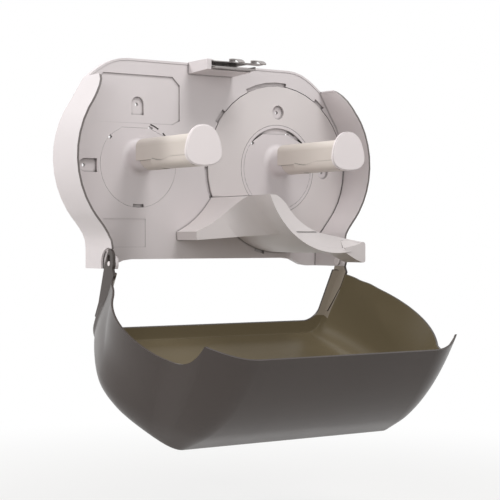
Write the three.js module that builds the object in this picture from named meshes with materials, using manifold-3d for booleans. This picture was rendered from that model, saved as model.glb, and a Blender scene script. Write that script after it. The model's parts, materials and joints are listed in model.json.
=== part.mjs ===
// Double roll toilet paper dispenser with its front cover swung open.
// Millimetres. +X runs to the right seen from the front, the front faces -Y and +Z is up.
// The origin lies on the wall plane, midway between the two hubs and level with them.

import * as THREE from 'three';
import { mergeVertices } from 'three/addons/utils/BufferGeometryUtils.js';
import Module from 'manifold-3d';

const wasm = await Module();
wasm.setup();

// Clearances and shared values

const fit = {
  running: 0.5,      // between pieces that turn against each other
  seat: 0.3,         // between pieces that are fixed together
  coverSeam: 1.2,    // between the cover's rim and the housing's front edge
};
const overrun = 2;   // how far a cutting tool runs past the face it cuts
const longOverrun = overrun * 4;   // the same past a slanting face
const weldDistance = 1e-4;   // points nearer than this are one corner

// Counts of facets and samples

const roundSides = 20;
const smallSides = 10;
const bigSides = 44;
const arcSteps = { tiny: 2, small: 4, round: 8, long: 13 };

// Hubs, rolls and housing

const hubSpacing = 240;
const hubX = hubSpacing / 2;

const plate = {
  depth: 10,          // from the wall to the front face of the plate
  skin: 3,
  wall: 3,            // thickness of the side flanges
  bottomZ: -134,
  bottomHalf: 132,    // half width of the straight bottom edge
  topZ: 149,
  topHalf: 138,       // half width of the straight top edge
  footBottomZ: -146,
  footInset: 50,      // from the widest point in to the foot
  footTopZ: -117,
  footToeWidth: 21,
  ribWidth: 2.2,
  columnPitch: 48,
  rowPitch: 64,
  padRadius: 15,
};

const lobe = {
  halfWidth: 249,     // from the middle to the widest point of the housing
  centreZ: 6,
  radius: 132,
  lowAngle: -33,
  highAngle: 37,
};
lobe.centreX = lobe.halfWidth - lobe.radius;
plate.footX = lobe.halfWidth - plate.footInset;
plate.footToeX = plate.footX - plate.footToeWidth;

const ear = {
  inset: 46,
  z: 118,
};
ear.x = lobe.halfWidth - ear.inset;

// Side view of the seam between housing and cover, from the top down

const seam = {
  topY: -26,
  earTipY: -24,
  straightY: -72,
  earStartZ: 62,
  footY: -76,
  footStartZ: -96,
  footFullZ: -114,
  footEndZ: -128,
  footEndY: -75,
};

// Mould details on the face of the plate

const reliefPanel = { left: -188, top: 127, right: -52, bottom: 58, chamfer: 12, depth: 2.2 };
const labelPanel = { left: -176, right: -109, top: -77, bottom: -117, depth: 0.7 };
const wallScrew = {
  radius: 2.7,
  topShift: 1,        // from above the hub, outwards
  topZ: 85,
  sideInset: 44,
  sideZ: -3,
  recessDepth: 4.5,
  seatRadius: 9.5,
};
wallScrew.topX = hubX + wallScrew.topShift;
wallScrew.sideX = lobe.halfWidth - wallScrew.sideInset;
const arch = { halfWidth: 10, riseAbove: 11, dropBelow: 15 };
const sideSlot = { radius: 9.5, reach: 19 };

// Transfer shutter: a ring that turns in a round pan in the plate, with a roll saddle on it

const ring = { radius: 124, bore: 66.3, thickness: 3, edgeGap: 1.1 };
ring.accessRadius = wallScrew.seatRadius + ring.edgeGap;
const pan = { radius: ring.radius + ring.edgeGap, depth: ring.thickness + fit.running };
const panNotches = {
  reach: 5,
  arcs: [[83, 116], [139, 149], [48, 57], [180, 201], [251, 259]],
};

// One hub pocket at each roll, with the cut-outs of its bayonet lugs

const hubDisc = { radius: 61, thickness: 3, flatZ: 51.5, flatLeft: 27, flatRight: 17, cornerDrop: 13 };
const bayonet = {
  inner: 52,
  outer: 57.5,
  arcs: [[66, 73]],
  notchInner: 56.4,
  rearArc: [138, 143],
  lowArc: [261, 278],
  slotInner: 59,
  slotDepth: 2.2,
  slotArcs: [[41, 49], [57.5, 71.5]],
};

const collar = { radius: 20, riseZ: 10, endY: -46, flare: 8.5 };
const collarShares = { wall: 1.5, rootSkin: 2, screwSkin: 4 };

const arm = {
  halfWidth: 22.5,
  lowZ: -8.5,
  highZ: 35.5,
  noseLedgeZ: 3,      // parting line beside the round stretch
  ledgeZ: 5,
  ledgeStep: 1.4,
  startY: -38,
  roundEndY: -83,     // the lower shell is round as far as this
  noseRadius: 12,
  endY: -180.5,
  dipDepth: 4.1,
  dipY: -108,
  dipHalf: 32,
  cornerRadius: 11,
};

const cap = { halfWidth: 28.5, height: 55, centreZ: 18, thickness: 4, edge: 1.2, frontY: -185, plug: 12 };

// Saddle of the shutter

const trough = {
  outer: 125.5,
  inner: 99,
  wall: 3,
  apexZ: -44,
  apexWidth: 11,
  apexDrop: 12,          // how far down the apex is rounded into the inner arc
  lineStartAngle: 260,   // where the inner arc leaves for the straight top edge
  lineEndFromHub: 50,
  lineEndZ: -110.5,
  endAngle: 281,
  frontY: -160,
  lipInnerY: -147,
  stepZ: -95,
  stepRadius: 119,
  stepDepth: 1.6,
  nickFromHub: -24,
  nickZ: -112,
  nickLength: 12,
  nickWidth: 1.8,
  nickDepth: 1.3,
  nickDrop: 6.5,
};
const wing = {
  tipFromHub: -177,
  tipTopZ: -97,
  tipBottomZ: -107,
  apexFromHub: -117,
  apexZ: -45,
  curveFromHub: -230,
  curveCentreZ: 25,
  curveRadius: 131,
  rootFromHub: -75,
  rootZ: -99,
  apexDepthY: -85,
  tipDepthY: -65,
  blendRadius: 34,
};
const endPad = { bottomFromHub: 32, bottomZ: -139.5, dropZ: -134.5, backY: -118, frontY: -159, round: 4 };
trough.lineEndX = hubX + trough.lineEndFromHub;
wing.tipX = hubX + wing.tipFromHub;
wing.apexX = hubX + wing.apexFromHub;
wing.curveCentreX = hubX + wing.curveFromHub;
wing.rootX = hubX + wing.rootFromHub;
endPad.bottomX = hubX + endPad.bottomFromHub;

// Front cover, described in its closed position

const cover = {
  wall: 2.8,
  startY: -20,
  roundStartY: -160,
  frontTopY: -205,
  frontBottomY: -192,
  bottomZ: -138,
  hoodZ: 160,
  hoodHalf: 140,
  earZ: 126,
  frontHalfTop: 213,
  frontHalfBottom: 171,
  frontTopZ: 85,
  frontCornerZ: 7,
  fullFootSwell: 3.5,
  fullFootZ: -126,
};
cover.fullFootX = plate.footX + cover.fullFootSwell;
const coverOpening = { half: 184, frontY: -170, corner: 22 };
const catchRib = { thickness: 2.4, gapAboveHook: 0.8, sideMargin: 2 };

// Hinge: the cover's eyes turn on two pins, each carried by a lug inside the foot

const hinge = { y: -67, z: -139, pinRadius: 3.4, openAngle: 120 };
const eye = {
  radius: 12,
  slotRadius: 3.9,
  slotRun: 8.5,       // lets the cover be lifted off its pin
  slotAngle: -30,     // with the cover closed, from level towards the wall
  thickness: 3.8,
  lowestZ: -149,
  neckY: -74,
  neckZ: -114,
  armFrontY: -128,
  armTopZ: -104,
};
const lug = { thickness: 4.5, radius: 12.5, rearZ: -110 };

// Lock at the middle of the top edge

const lock = {
  left: -38,
  right: 38,
  bottomZ: 133,
  topZ: 150,
  frontY: -62,
  cheek: 7,
  wall: 3,
  steel: 1.5,
  steelFrontY: -72,
  sideHeight: 5.6,
};
const latch = {
  plateZ: 146.5,
  plateRight: 57,
  tongueDepth: 9,
  pivotY: -18,
  pivotZ: 144.5,
  pinRadius: 2,
  hookXs: [[0, 10], [37, 47]],
  hookBackY: -60,
  hookFrontY: -86,
  hookTopZ: 152.3,
  hookTipZ: 145.2,
  curlThickness: 1.5,
};
const coil = { radius: 4.2, wire: 0.9, turns: 5, x: 4, y: -44 };

// Screws that hold the hubs and the lock from behind

const screw = { headRadius: 4, headHeight: 2.2, shankRadius: 1.8, length: 9, pitchRadius: 12, hubCount: 3 };

// Colours and surfaces by material

const finishes = {
  housing: { color: 0xd2caca, roughness: 0.55, metalness: 0 },
  shutter: { color: 0xd0c8c8, roughness: 0.5, metalness: 0 },
  spindle: { color: 0xbdb5ad, roughness: 0.45, metalness: 0 },
  cap: { color: 0xdfd7d7, roughness: 0.5, metalness: 0 },
  smoke: { color: 0x4c4743, roughness: 0.35, metalness: 0 },
  steel: { color: 0x8c8b88, roughness: 0.35, metalness: 1 },
};

// Solids

function solidOf(geometry) {
  const bare = geometry.clone();
  bare.deleteAttribute('normal');
  bare.deleteAttribute('uv');
  const merged = mergeVertices(bare.index ? bare.toNonIndexed() : bare, weldDistance);
  return new wasm.Manifold(new wasm.Mesh({
    numProp: 3,
    vertProperties: new Float32Array(merged.attributes.position.array),
    triVerts: new Uint32Array(merged.index.array),
  }));
}

function union(parts) {
  return parts.reduce((sum, part) => sum.add(part));
}

function meshOf(name, solid, finish) {
  const raw = solid.getMesh();
  const geometry = new THREE.BufferGeometry();
  geometry.setAttribute('position', new THREE.BufferAttribute(new Float32Array(raw.vertProperties), 3));
  geometry.setIndex(new THREE.BufferAttribute(new Uint32Array(raw.triVerts), 1));
  geometry.computeVertexNormals();
  const mesh = new THREE.Mesh(geometry, new THREE.MeshStandardMaterial(finishes[finish]));
  mesh.name = name;
  return mesh;
}

// A front-view outline in x and z, extruded from frontY back to backY
function slab(shape, frontY, backY, curveSegments = arcSteps.small) {
  const geometry = new THREE.ExtrudeGeometry(shape, {
    depth: backY - frontY,
    bevelEnabled: false,
    curveSegments,
  });
  geometry.rotateX(Math.PI / 2);
  geometry.translate(0, backY, 0);
  return solidOf(geometry);
}

// A side-view outline in y and z, extruded along x
function sidePrism(shape, lowX, highX, curveSegments = arcSteps.small) {
  const geometry = new THREE.ExtrudeGeometry(shape, {
    depth: highX - lowX,
    bevelEnabled: false,
    curveSegments,
  });
  const turn = new THREE.Matrix4().set(
    0, 0, 1, lowX,
    1, 0, 0, 0,
    0, 1, 0, 0,
    0, 0, 0, 1,
  );
  geometry.applyMatrix4(turn);
  return solidOf(geometry);
}

// A top-view outline in x and y, extruded upwards
function standing(shape, lowZ, highZ, curveSegments = arcSteps.small) {
  const geometry = new THREE.ExtrudeGeometry(shape, {
    depth: highZ - lowZ,
    bevelEnabled: false,
    curveSegments,
  });
  geometry.translate(0, 0, lowZ);
  return solidOf(geometry);
}

function box(lowX, highX, lowY, highY, lowZ, highZ) {
  const geometry = new THREE.BoxGeometry(highX - lowX, highY - lowY, highZ - lowZ);
  geometry.translate((lowX + highX) / 2, (lowY + highY) / 2, (lowZ + highZ) / 2);
  return solidOf(geometry);
}

// A round bar along y
function barY(radius, x, z, frontY, backY, sides = smallSides, frontRadius = radius) {
  const geometry = new THREE.CylinderGeometry(radius, frontRadius, backY - frontY, sides);
  geometry.translate(x, (frontY + backY) / 2, z);
  return solidOf(geometry);
}

// A round bar along x
function barX(radius, y, z, lowX, highX, sides = smallSides) {
  const geometry = new THREE.CylinderGeometry(radius, radius, highX - lowX, sides);
  geometry.rotateZ(Math.PI / 2);
  geometry.translate((lowX + highX) / 2, y, z);
  return solidOf(geometry);
}

// A front-view ring sector about a hub
function sectorShape(centreX, centreZ, inner, outer, fromDegrees, toDegrees) {
  const from = THREE.MathUtils.degToRad(fromDegrees);
  const to = THREE.MathUtils.degToRad(toDegrees);
  const shape = new THREE.Shape();
  shape.absarc(centreX, centreZ, outer, from, to, false);
  shape.absarc(centreX, centreZ, inner, to, from, true);
  shape.closePath();
  return shape;
}

function polygon(points) {
  return new THREE.Shape(points.map(([x, y]) => new THREE.Vector2(x, y)));
}

function rectangle(lowX, highX, lowY, highY) {
  return polygon([[lowX, lowY], [highX, lowY], [highX, highY], [lowX, highY]]);
}

// Outline of the housing

function onLobe(degrees) {
  const angle = THREE.MathUtils.degToRad(degrees);
  return new THREE.Vector2(
    lobe.centreX + lobe.radius * Math.cos(angle),
    lobe.centreZ + lobe.radius * Math.sin(angle),
  );
}

function lobeTangent(degrees) {
  const angle = THREE.MathUtils.degToRad(degrees);
  return new THREE.Vector2(-Math.sin(angle), Math.cos(angle));
}

function cubic(from, controlA, controlB, to, count) {
  return new THREE.CubicBezierCurve(from, controlA, controlB, to).getPoints(count).slice(1);
}

const sampleCounts = { bottomCorner: 4, waist: 6, lobe: 9, shoulder: 1, crown: 6, seam: 7 };

// Waist between the foot and the round of the lobe
function waistPoints(foot, meetAngle, footPull, lobePull) {
  const meet = onLobe(meetAngle);
  const towards = lobeTangent(meetAngle).multiplyScalar(-lobePull);
  return cubic(foot, foot.clone().add(footPull), meet.clone().add(towards), meet, sampleCounts.waist);
}

function lobePoints(fromAngle, toAngle) {
  const points = [];
  for (let i = 1; i <= sampleCounts.lobe; i += 1) {
    points.push(onLobe(fromAngle + ((toAngle - fromAngle) * i) / sampleCounts.lobe));
  }
  return points;
}

// Straight shoulder from the lobe to the ear, then the crown curve on to the flat top
function crownPoints(from, tip, topHalf, topZ) {
  const shoulder = [];
  for (let i = 1; i <= sampleCounts.shoulder; i += 1) {
    shoulder.push(from.clone().lerp(tip, i / sampleCounts.shoulder));
  }
  const level = new THREE.Vector2(topHalf, topZ);
  const width = tip.x - topHalf;
  const rise = topZ - tip.y;
  const crown = cubic(
    tip,
    new THREE.Vector2(tip.x - width * crownShares.tipX, tip.y + rise * crownShares.tipZ),
    new THREE.Vector2(topHalf + width * crownShares.levelX, topZ),
    level,
    sampleCounts.crown,
  );
  return shoulder.concat(crown);
}
const crownShares = { tipX: 0.27, tipZ: 0.48, levelX: 0.42 };

function mirrored(half) {
  const left = half.map((p) => new THREE.Vector2(-p.x, p.y)).reverse();
  return half.concat(left);
}

const waist = { footPull: 22, lobePull: 22 };

function housingOutline() {
  const toe = new THREE.Vector2(plate.footToeX, plate.footBottomZ);
  const start = new THREE.Vector2(plate.bottomHalf, plate.bottomZ);
  const middle = (plate.bottomHalf + plate.footToeX) / 2;
  const half = [start];
  half.push(...cubic(
    start,
    new THREE.Vector2(middle, plate.bottomZ),
    new THREE.Vector2(middle, plate.footBottomZ),
    toe,
    sampleCounts.bottomCorner,
  ));
  half.push(new THREE.Vector2(plate.footX, plate.footBottomZ));
  const foot = new THREE.Vector2(plate.footX, plate.footTopZ);
  half.push(foot);
  half.push(...waistPoints(foot, lobe.lowAngle, new THREE.Vector2(0, waist.footPull), waist.lobePull));
  half.push(...lobePoints(lobe.lowAngle, lobe.highAngle));
  half.push(...crownPoints(onLobe(lobe.highAngle), new THREE.Vector2(ear.x, ear.z),
    plate.topHalf, plate.topZ));
  return mirrored(half);
}

// The same outline moved inwards by a distance along its normals
function inset(outline, distance) {
  const count = outline.length;
  return outline.map((point, i) => {
    const before = outline[(i + count - 1) % count];
    const after = outline[(i + 1) % count];
    const inA = edgeInward(before, point);
    const inB = edgeInward(point, after);
    const bisector = inA.clone().add(inB).normalize();
    const stretch = 1 / Math.max(bisector.dot(inA), miterShare);
    return point.clone().add(bisector.multiplyScalar(distance * stretch));
  });
}
const miterShare = 0.5;

function edgeInward(from, to) {
  const run = to.clone().sub(from).normalize();
  return new THREE.Vector2(-run.y, run.x);
}

// Side view of the seam, as a list of y and z from the ear down to the foot
function seamCurve(offsetY) {
  const tip = new THREE.Vector2(seam.earTipY, cover.earZ);
  const start = new THREE.Vector2(seam.straightY, seam.earStartZ);
  const rise = cover.earZ - seam.earStartZ;
  const depth = seam.straightY - seam.earTipY;
  const earPart = [tip].concat(cubic(
    tip,
    new THREE.Vector2(tip.x + depth * earShares.tipY, tip.y - rise * earShares.tipZ),
    new THREE.Vector2(start.x, start.y + rise * earShares.startZ),
    start,
    sampleCounts.seam,
  ));
  const low = new THREE.Vector2(seam.straightY, seam.footStartZ);
  const full = new THREE.Vector2(seam.footY, seam.footFullZ);
  const middleZ = (seam.footStartZ + seam.footFullZ) / 2;
  const footPart = [low].concat(cubic(
    low,
    new THREE.Vector2(low.x, middleZ),
    new THREE.Vector2(full.x, middleZ),
    full,
    sampleCounts.bottomCorner,
  ));
  const end = new THREE.Vector2(seam.footEndY, seam.footEndZ);
  return earPart.concat(footPart, [end]).map((p) => new THREE.Vector2(p.x + offsetY, p.y));
}
const earShares = { tipY: 0.75, tipZ: 0.12, startZ: 0.68 };

// Everything in front of the seam, as a prism across the whole width
function aheadOfSeam() {
  const reachX = lobe.halfWidth + overrun;
  const farY = cover.frontTopY;
  const points = seamCurve(0);
  const tip = points[0];
  const last = points[points.length - 1];
  const shape = new THREE.Shape();
  shape.moveTo(farY, cover.hoodZ);
  shape.lineTo(seam.topY, cover.hoodZ);
  shape.lineTo(seam.topY, tip.y);
  points.forEach((p) => shape.lineTo(p.x, p.y));
  shape.lineTo(last.x, plate.footBottomZ - overrun * 2);
  shape.lineTo(farY, plate.footBottomZ - overrun * 2);
  shape.closePath();
  return sidePrism(shape, -reachX, reachX);
}

// Back plate

function hubPocketShape(centreX, clearance) {
  const shape = new THREE.Shape();
  const radius = hubDisc.radius + clearance;
  const flat = hubDisc.flatZ + clearance;
  const corner = cornerOfHub(radius, flat);
  const start = Math.atan2(corner.z, -corner.x);
  const end = Math.atan2(corner.z, corner.x);
  shape.moveTo(centreX + hubDisc.flatRight, flat);
  shape.lineTo(centreX - hubDisc.flatLeft, flat);
  shape.absarc(centreX, 0, radius, start, end + Math.PI * 2, false);
  shape.closePath();
  return shape;
}
function cornerOfHub(radius, flat) {
  const z = flat - hubDisc.cornerDrop;
  return { x: Math.sqrt(radius * radius - z * z), z };
}

function panCut() {
  const floorY = -plate.depth + pan.depth;
  const frontY = -plate.depth - overrun;
  const guide = barY(ring.bore - fit.running, hubX, 0, frontY - overrun, floorY + overrun, bigSides);
  const cuts = [barY(pan.radius, hubX, 0, frontY, floorY, bigSides).subtract(guide)];
  panNotches.arcs.forEach(([from, to]) => {
    const shape = sectorShape(hubX, 0, pan.radius - overrun, pan.radius + panNotches.reach, from, to);
    cuts.push(slab(shape, frontY, floorY, arcSteps.tiny));
  });
  return union(cuts);
}

function pocketCut(centreX) {
  return slab(hubPocketShape(centreX, fit.seat), -plate.depth - overrun,
    -plate.depth + hubDisc.thickness + fit.seat, arcSteps.long);
}

function roundPocketCut(centreX) {
  return barY(hubDisc.radius + fit.seat, centreX, 0, -plate.depth - overrun,
    -plate.depth + hubDisc.thickness + fit.seat, bigSides);
}

// Openings through the plate that the hub's lugs enter by
function bayonetCuts(centreX) {
  const cuts = bayonet.arcs.map(([from, to]) => hubSector(centreX, bayonet.inner, bayonet.outer, from, to));
  cuts.push(hubSector(centreX, bayonet.notchInner, hubDisc.radius, ...bayonet.rearArc));
  return union(cuts);
}

function hubSector(centreX, inner, outer, from, to, backY = overrun) {
  return slab(sectorShape(centreX, 0, inner, outer, from, to), -plate.depth - overrun, backY, arcSteps.tiny);
}

// Blind slots outside the chamfers of the disc
function rimSlotCuts(centreX, faceY) {
  return union(bayonet.slotArcs.map(([from, to]) => hubSector(
    centreX, bayonet.slotInner, hubDisc.radius + fit.seat, from, to, faceY + bayonet.slotDepth)));
}

function archShape(x, z) {
  const shape = new THREE.Shape();
  shape.moveTo(x - arch.halfWidth, z - arch.dropBelow);
  shape.lineTo(x + arch.halfWidth, z - arch.dropBelow);
  shape.lineTo(x + arch.halfWidth, z + arch.riseAbove - arch.halfWidth);
  shape.absarc(x, z + arch.riseAbove - arch.halfWidth, arch.halfWidth, 0, Math.PI, false);
  shape.closePath();
  return shape;
}

function sideSlotShape(side) {
  const x = side * wallScrew.sideX;
  const shape = new THREE.Shape();
  const inwards = x - side * sideSlot.reach;
  shape.moveTo(inwards, wallScrew.sideZ - sideSlot.radius);
  shape.lineTo(x, wallScrew.sideZ - sideSlot.radius);
  shape.absarc(x, wallScrew.sideZ, sideSlot.radius, -Math.PI / 2, Math.PI / 2, side < 0);
  shape.lineTo(inwards, wallScrew.sideZ + sideSlot.radius);
  shape.closePath();
  return shape;
}

function wallScrewCuts() {
  const frontY = -plate.depth - overrun;
  const floorY = -plate.depth + wallScrew.recessDepth;
  const cuts = [];
  [-1, 1].forEach((side) => {
    cuts.push(barY(wallScrew.radius, side * wallScrew.topX, wallScrew.topZ, frontY, overrun));
    cuts.push(barY(wallScrew.radius, side * wallScrew.sideX, wallScrew.sideZ, frontY, overrun));
  });
  cuts.push(slab(archShape(-wallScrew.topX, wallScrew.topZ), frontY, floorY));
  cuts.push(slab(sideSlotShape(-1), frontY, floorY));
  cuts.push(barY(wallScrew.seatRadius, wallScrew.topX, wallScrew.topZ, frontY, floorY, roundSides));
  cuts.push(barY(wallScrew.seatRadius, wallScrew.sideX, wallScrew.sideZ, frontY, floorY, roundSides));
  return union(cuts);
}

// Shallow panel whose floor rises to nothing towards its lower left
function reliefPanelCut() {
  const p = reliefPanel;
  const outline = polygon([
    [p.left, p.bottom],
    [p.right - p.chamfer, p.bottom],
    [p.right, p.bottom + p.chamfer / 2],
    [p.right, p.top - p.chamfer],
    [p.right - p.chamfer, p.top],
    [p.left + p.chamfer, p.top],
    [p.left, p.top - p.chamfer],
  ]);
  const prism = slab(outline, -plate.depth - p.depth, -plate.depth + p.depth);
  const corners = [
    [p.left - overrun, p.bottom - overrun, 0],
    [p.right + overrun, p.bottom - overrun, p.depth],
    [p.right + overrun, p.top + overrun, p.depth],
    [p.left - overrun, p.top + overrun, p.depth],
  ];
  return prism.subtract(floorWedge(corners));
}

// Solid behind a four-cornered sloping floor; each corner gives x, z and depth below the face
function floorWedge(corners) {
  const positions = [];
  const back = 0;
  const front = corners.map(([x, z, deep]) => new THREE.Vector3(x, -plate.depth + deep, z));
  const rear = corners.map(([x, z]) => new THREE.Vector3(x, back, z));
  const quad = (a, b, c, d) => [a, b, c, a, c, d].forEach((v) => positions.push(v.x, v.y, v.z));
  quad(front[0], front[1], front[2], front[3]);
  quad(rear[3], rear[2], rear[1], rear[0]);
  for (let i = 0; i < corners.length; i += 1) {
    const next = (i + 1) % corners.length;
    quad(front[next], front[i], rear[i], rear[next]);
  }
  const geometry = new THREE.BufferGeometry();
  geometry.setAttribute('position', new THREE.BufferAttribute(new Float32Array(positions), 3));
  return solidOf(geometry);
}

function labelPanelCut() {
  const p = labelPanel;
  return slab(rectangle(p.left, p.right, p.bottom, p.top), -plate.depth - overrun,
    -plate.depth + p.depth);
}

// Ribs, pads and rims on the back of the plate, all reaching the wall
function backStructure() {
  const frontY = -plate.depth + plate.skin;
  const half = plate.ribWidth / 2;
  const parts = [];
  const columns = Math.floor(lobe.halfWidth / plate.columnPitch);
  for (let i = -columns; i <= columns; i += 1) {
    const x = i * plate.columnPitch;
    parts.push(box(x - half, x + half, frontY - fit.seat, 0, plate.bottomZ, plate.topZ));
  }
  for (let z = plate.rowPitch / 2; z < plate.topZ; z += plate.rowPitch) {
    [-z, z].forEach((at) => parts.push(box(
      -lobe.halfWidth, lobe.halfWidth, frontY - fit.seat, 0, at - half, at + half)));
  }
  [-1, 1].forEach((side) => {
    parts.push(barY(plate.padRadius, side * wallScrew.topX, wallScrew.topZ, frontY - fit.seat, 0));
    parts.push(barY(plate.padRadius, side * wallScrew.sideX, wallScrew.sideZ, frontY - fit.seat, 0));
  });
  parts.push(barY(plate.padRadius, 0, 0, frontY - fit.seat, 0));
  return union(parts);
}

function backPlate() {
  const outline = housingOutline();
  const outer = new THREE.Shape(outline);
  const inner = new THREE.Shape(inset(outline, plate.wall));
  const frontY = seam.footY - overrun;
  let solid = slab(outer, frontY, 0);
  solid = solid.subtract(slab(inner, frontY - overrun, -plate.depth));
  solid = solid.subtract(aheadOfSeam());
  solid = solid.subtract(topBand());
  const hollow = slab(inner, skinBackY, overrun);
  const inShell = slab(outer, -plate.depth + fit.seat, 0);
  const structure = backStructure().subtract(screwHeadRoom()).intersect(inShell);
  solid = solid.subtract(hollow).add(structure);
  solid = solid.subtract(panCut());
  solid = solid.subtract(pocketCut(-hubX)).subtract(roundPocketCut(hubX));
  solid = solid.subtract(bayonetCuts(-hubX)).subtract(bayonetCuts(hubX));
  solid = solid.subtract(rimSlotCuts(-hubX, -plate.depth));
  solid = solid.subtract(rimSlotCuts(hubX, -plate.depth + hubDisc.thickness));
  solid = solid.subtract(reliefPanelCut());
  solid = solid.subtract(labelPanelCut());
  solid = solid.subtract(wallScrewCuts());
  solid = solid.subtract(hubScrewHoles(-hubX)).subtract(hubScrewHoles(hubX));
  solid = solid.subtract(lockScrewHoles());
  [-1, 1].forEach((side) => {
    solid = solid.subtract(eyeNotch(side)).add(hingeLug(side));
  });
  return meshOf('back_plate', solid, 'housing');
}

// Round notch in the foot that the cover's eye turns in
function eyeNotch(side) {
  const radius = eye.slotRun + eye.radius + fit.coverSeam;
  const innerX = plate.footX - eye.thickness - fit.running;
  const outerX = plate.footX + overrun;
  const low = Math.min(side * innerX, side * outerX);
  const high = Math.max(side * innerX, side * outerX);
  return barX(radius, hinge.y, hinge.z, low, high, roundSides);
}

// Lug inside the foot that holds the hinge pin
function hingeLug(side) {
  const outerX = plate.footX - eye.thickness - fit.running;
  const innerX = outerX - lug.thickness;
  const rearY = -plate.depth + fit.seat;
  const shape = new THREE.Shape();
  shape.moveTo(rearY, plate.footBottomZ);
  shape.lineTo(rearY, lug.rearZ);
  const toe = Math.PI + Math.asin((hinge.z - plate.footBottomZ) / lug.radius);
  shape.absarc(hinge.y, hinge.z, lug.radius, Math.PI / 2, toe, false);
  shape.closePath();
  const hole = new THREE.Path();
  hole.absarc(hinge.y, hinge.z, hinge.pinRadius + fit.seat, 0, Math.PI * 2, true);
  shape.holes.push(hole);
  return sidePrism(shape, Math.min(side * innerX, side * outerX), Math.max(side * innerX, side * outerX));
}

// The top and bottom edges carry no flange, so the walls there are cut back to the face
function topBand() {
  const reachY = seam.footY - overrun * 2;
  const top = box(-ear.x + plate.wall, ear.x - plate.wall, reachY, -plate.depth - topLip,
    ear.z, cover.hoodZ);
  const inwards = plate.footX - plate.wall;
  const bottom = box(-inwards, inwards, reachY, -plate.depth, plate.footBottomZ - overrun,
    plate.bottomZ + plate.wall + overrun);
  const atLock = box(lock.left - fit.seat, lock.right + fit.seat, reachY, -plate.depth,
    plate.topZ - plate.wall - overrun, plate.topZ + overrun);
  return union([top, bottom, atLock]);
}
const topLip = 0.8;

// Screws behind the hubs and the lock

function hubScrewSpots(centreX) {
  const spots = [];
  for (let i = 0; i < screw.hubCount; i += 1) {
    const angle = Math.PI / 2 + (i * Math.PI * 2) / screw.hubCount;
    spots.push([
      centreX + screw.pitchRadius * Math.cos(angle),
      collar.riseZ + screw.pitchRadius * Math.sin(angle),
    ]);
  }
  return spots;
}

const lockScrewSpots = [
  [lock.left + lock.cheek * 2, (lock.bottomZ + lock.topZ) / 2 - 2 * fit.seat],
  [lock.right - lock.cheek * 2, (lock.bottomZ + lock.topZ) / 2 - 2 * fit.seat],
];

function screwHoles(spots) {
  return union(spots.map(([x, z]) => barY(screw.shankRadius + fit.seat, x, z,
    -plate.depth - overrun, overrun)));
}

// Room for the heads among the ribs
function screwHeadRoom() {
  const spots = [...hubScrewSpots(-hubX), ...hubScrewSpots(hubX), ...lockScrewSpots];
  return union(spots.map(([x, z]) => barY(screw.headRadius + fit.running, x, z, skinBackY, overrun)));
}

function hubScrewHoles(centreX) {
  return screwHoles(hubScrewSpots(centreX));
}

function lockScrewHoles() {
  return screwHoles(lockScrewSpots);
}

// Screws: a head behind the plate's skin and a shank into the piece in front of it
const skinBackY = -plate.depth + pan.depth + plate.skin;
const screwSeatY = skinBackY + fit.seat;

function screwMesh(name, [x, z]) {
  const headBackY = screwSeatY + screw.headHeight;
  const head = barY(screw.headRadius, x, z, screwSeatY, headBackY);
  const shank = barY(screw.shankRadius, x, z, screwSeatY - screw.length, headBackY - screw.headHeight / 2);
  return meshOf(name, head.add(shank), 'steel');
}

// Hub: a disc with a flat top and a stub that carries the roll arm

function hubPart(name, centreX) {
  const backY = -plate.depth + hubDisc.thickness;
  const disc = slab(hubPocketShape(centreX, 0), -plate.depth, backY, arcSteps.long);
  const rootY = -plate.depth + overrun / 2;
  const stub = barY(collar.radius, centreX, collar.riseZ, collar.endY, rootY, roundSides);
  const flare = collarFlare(centreX);
  let solid = disc.add(stub).add(flare);
  [bayonet.rearArc, bayonet.lowArc].forEach(([from, to]) => {
    solid = solid.subtract(hubSector(centreX, bayonet.notchInner, hubDisc.radius + overrun, from, to));
  });
  const bore = collar.radius - plate.wall * collarShares.wall;
  solid = solid.subtract(barY(bore, centreX, collar.riseZ, collar.endY + plate.wall,
    -plate.depth - plate.skin * collarShares.rootSkin, roundSides));
  solid = solid.subtract(union(hubScrewSpots(centreX).map(([x, z]) => barY(
    screw.shankRadius + fit.seat, x, z, -plate.depth - plate.skin * collarShares.screwSkin,
    backY + overrun))));
  return meshOf(name, solid, 'housing');
}

// Concave flare where the stub leaves the disc
function collarFlare(centreX) {
  const points = [new THREE.Vector2(0, 0)];
  const steps = 4;
  for (let i = 0; i <= steps; i += 1) {
    const angle = (Math.PI / 2) * (i / steps);
    points.push(new THREE.Vector2(
      collar.radius + collar.flare * (1 - Math.sin(angle)),
      collar.flare * (1 - Math.cos(angle)),
    ));
  }
  points.push(new THREE.Vector2(0, collar.flare));
  const geometry = new THREE.LatheGeometry(points, roundSides);
  geometry.rotateX(Math.PI);
  const solid = new THREE.Matrix4().makeTranslation(centreX, -plate.depth, collar.riseZ);
  geometry.applyMatrix4(solid);
  return solidOf(geometry);
}

// Roll arm: a lower shell with a wavy ledge, an upper shell set into it, and an end cap

function armSection(margin) {
  const half = arm.halfWidth - margin;
  const low = arm.lowZ + margin;
  const high = arm.highZ - margin;
  const round = arm.cornerRadius;
  const shape = new THREE.Shape();
  shape.moveTo(-half + round, low);
  shape.lineTo(half - round, low);
  shape.absarc(half - round, low + round, round, -Math.PI / 2, 0, false);
  shape.lineTo(half, high - round);
  shape.absarc(half - round, high - round, round, 0, Math.PI / 2, false);
  shape.lineTo(-half + round, high);
  shape.absarc(-half + round, high - round, round, Math.PI / 2, Math.PI, false);
  shape.lineTo(-half, low + round);
  shape.absarc(-half + round, low + round, round, Math.PI, Math.PI * 1.5, false);
  shape.closePath();
  return shape;
}

function placedSection(margin, centreX) {
  const flat = armSection(margin).getPoints(sampleCounts.bottomCorner);
  return new THREE.Shape(flat.map((p) => new THREE.Vector2(p.x + centreX, p.y)));
}

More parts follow.
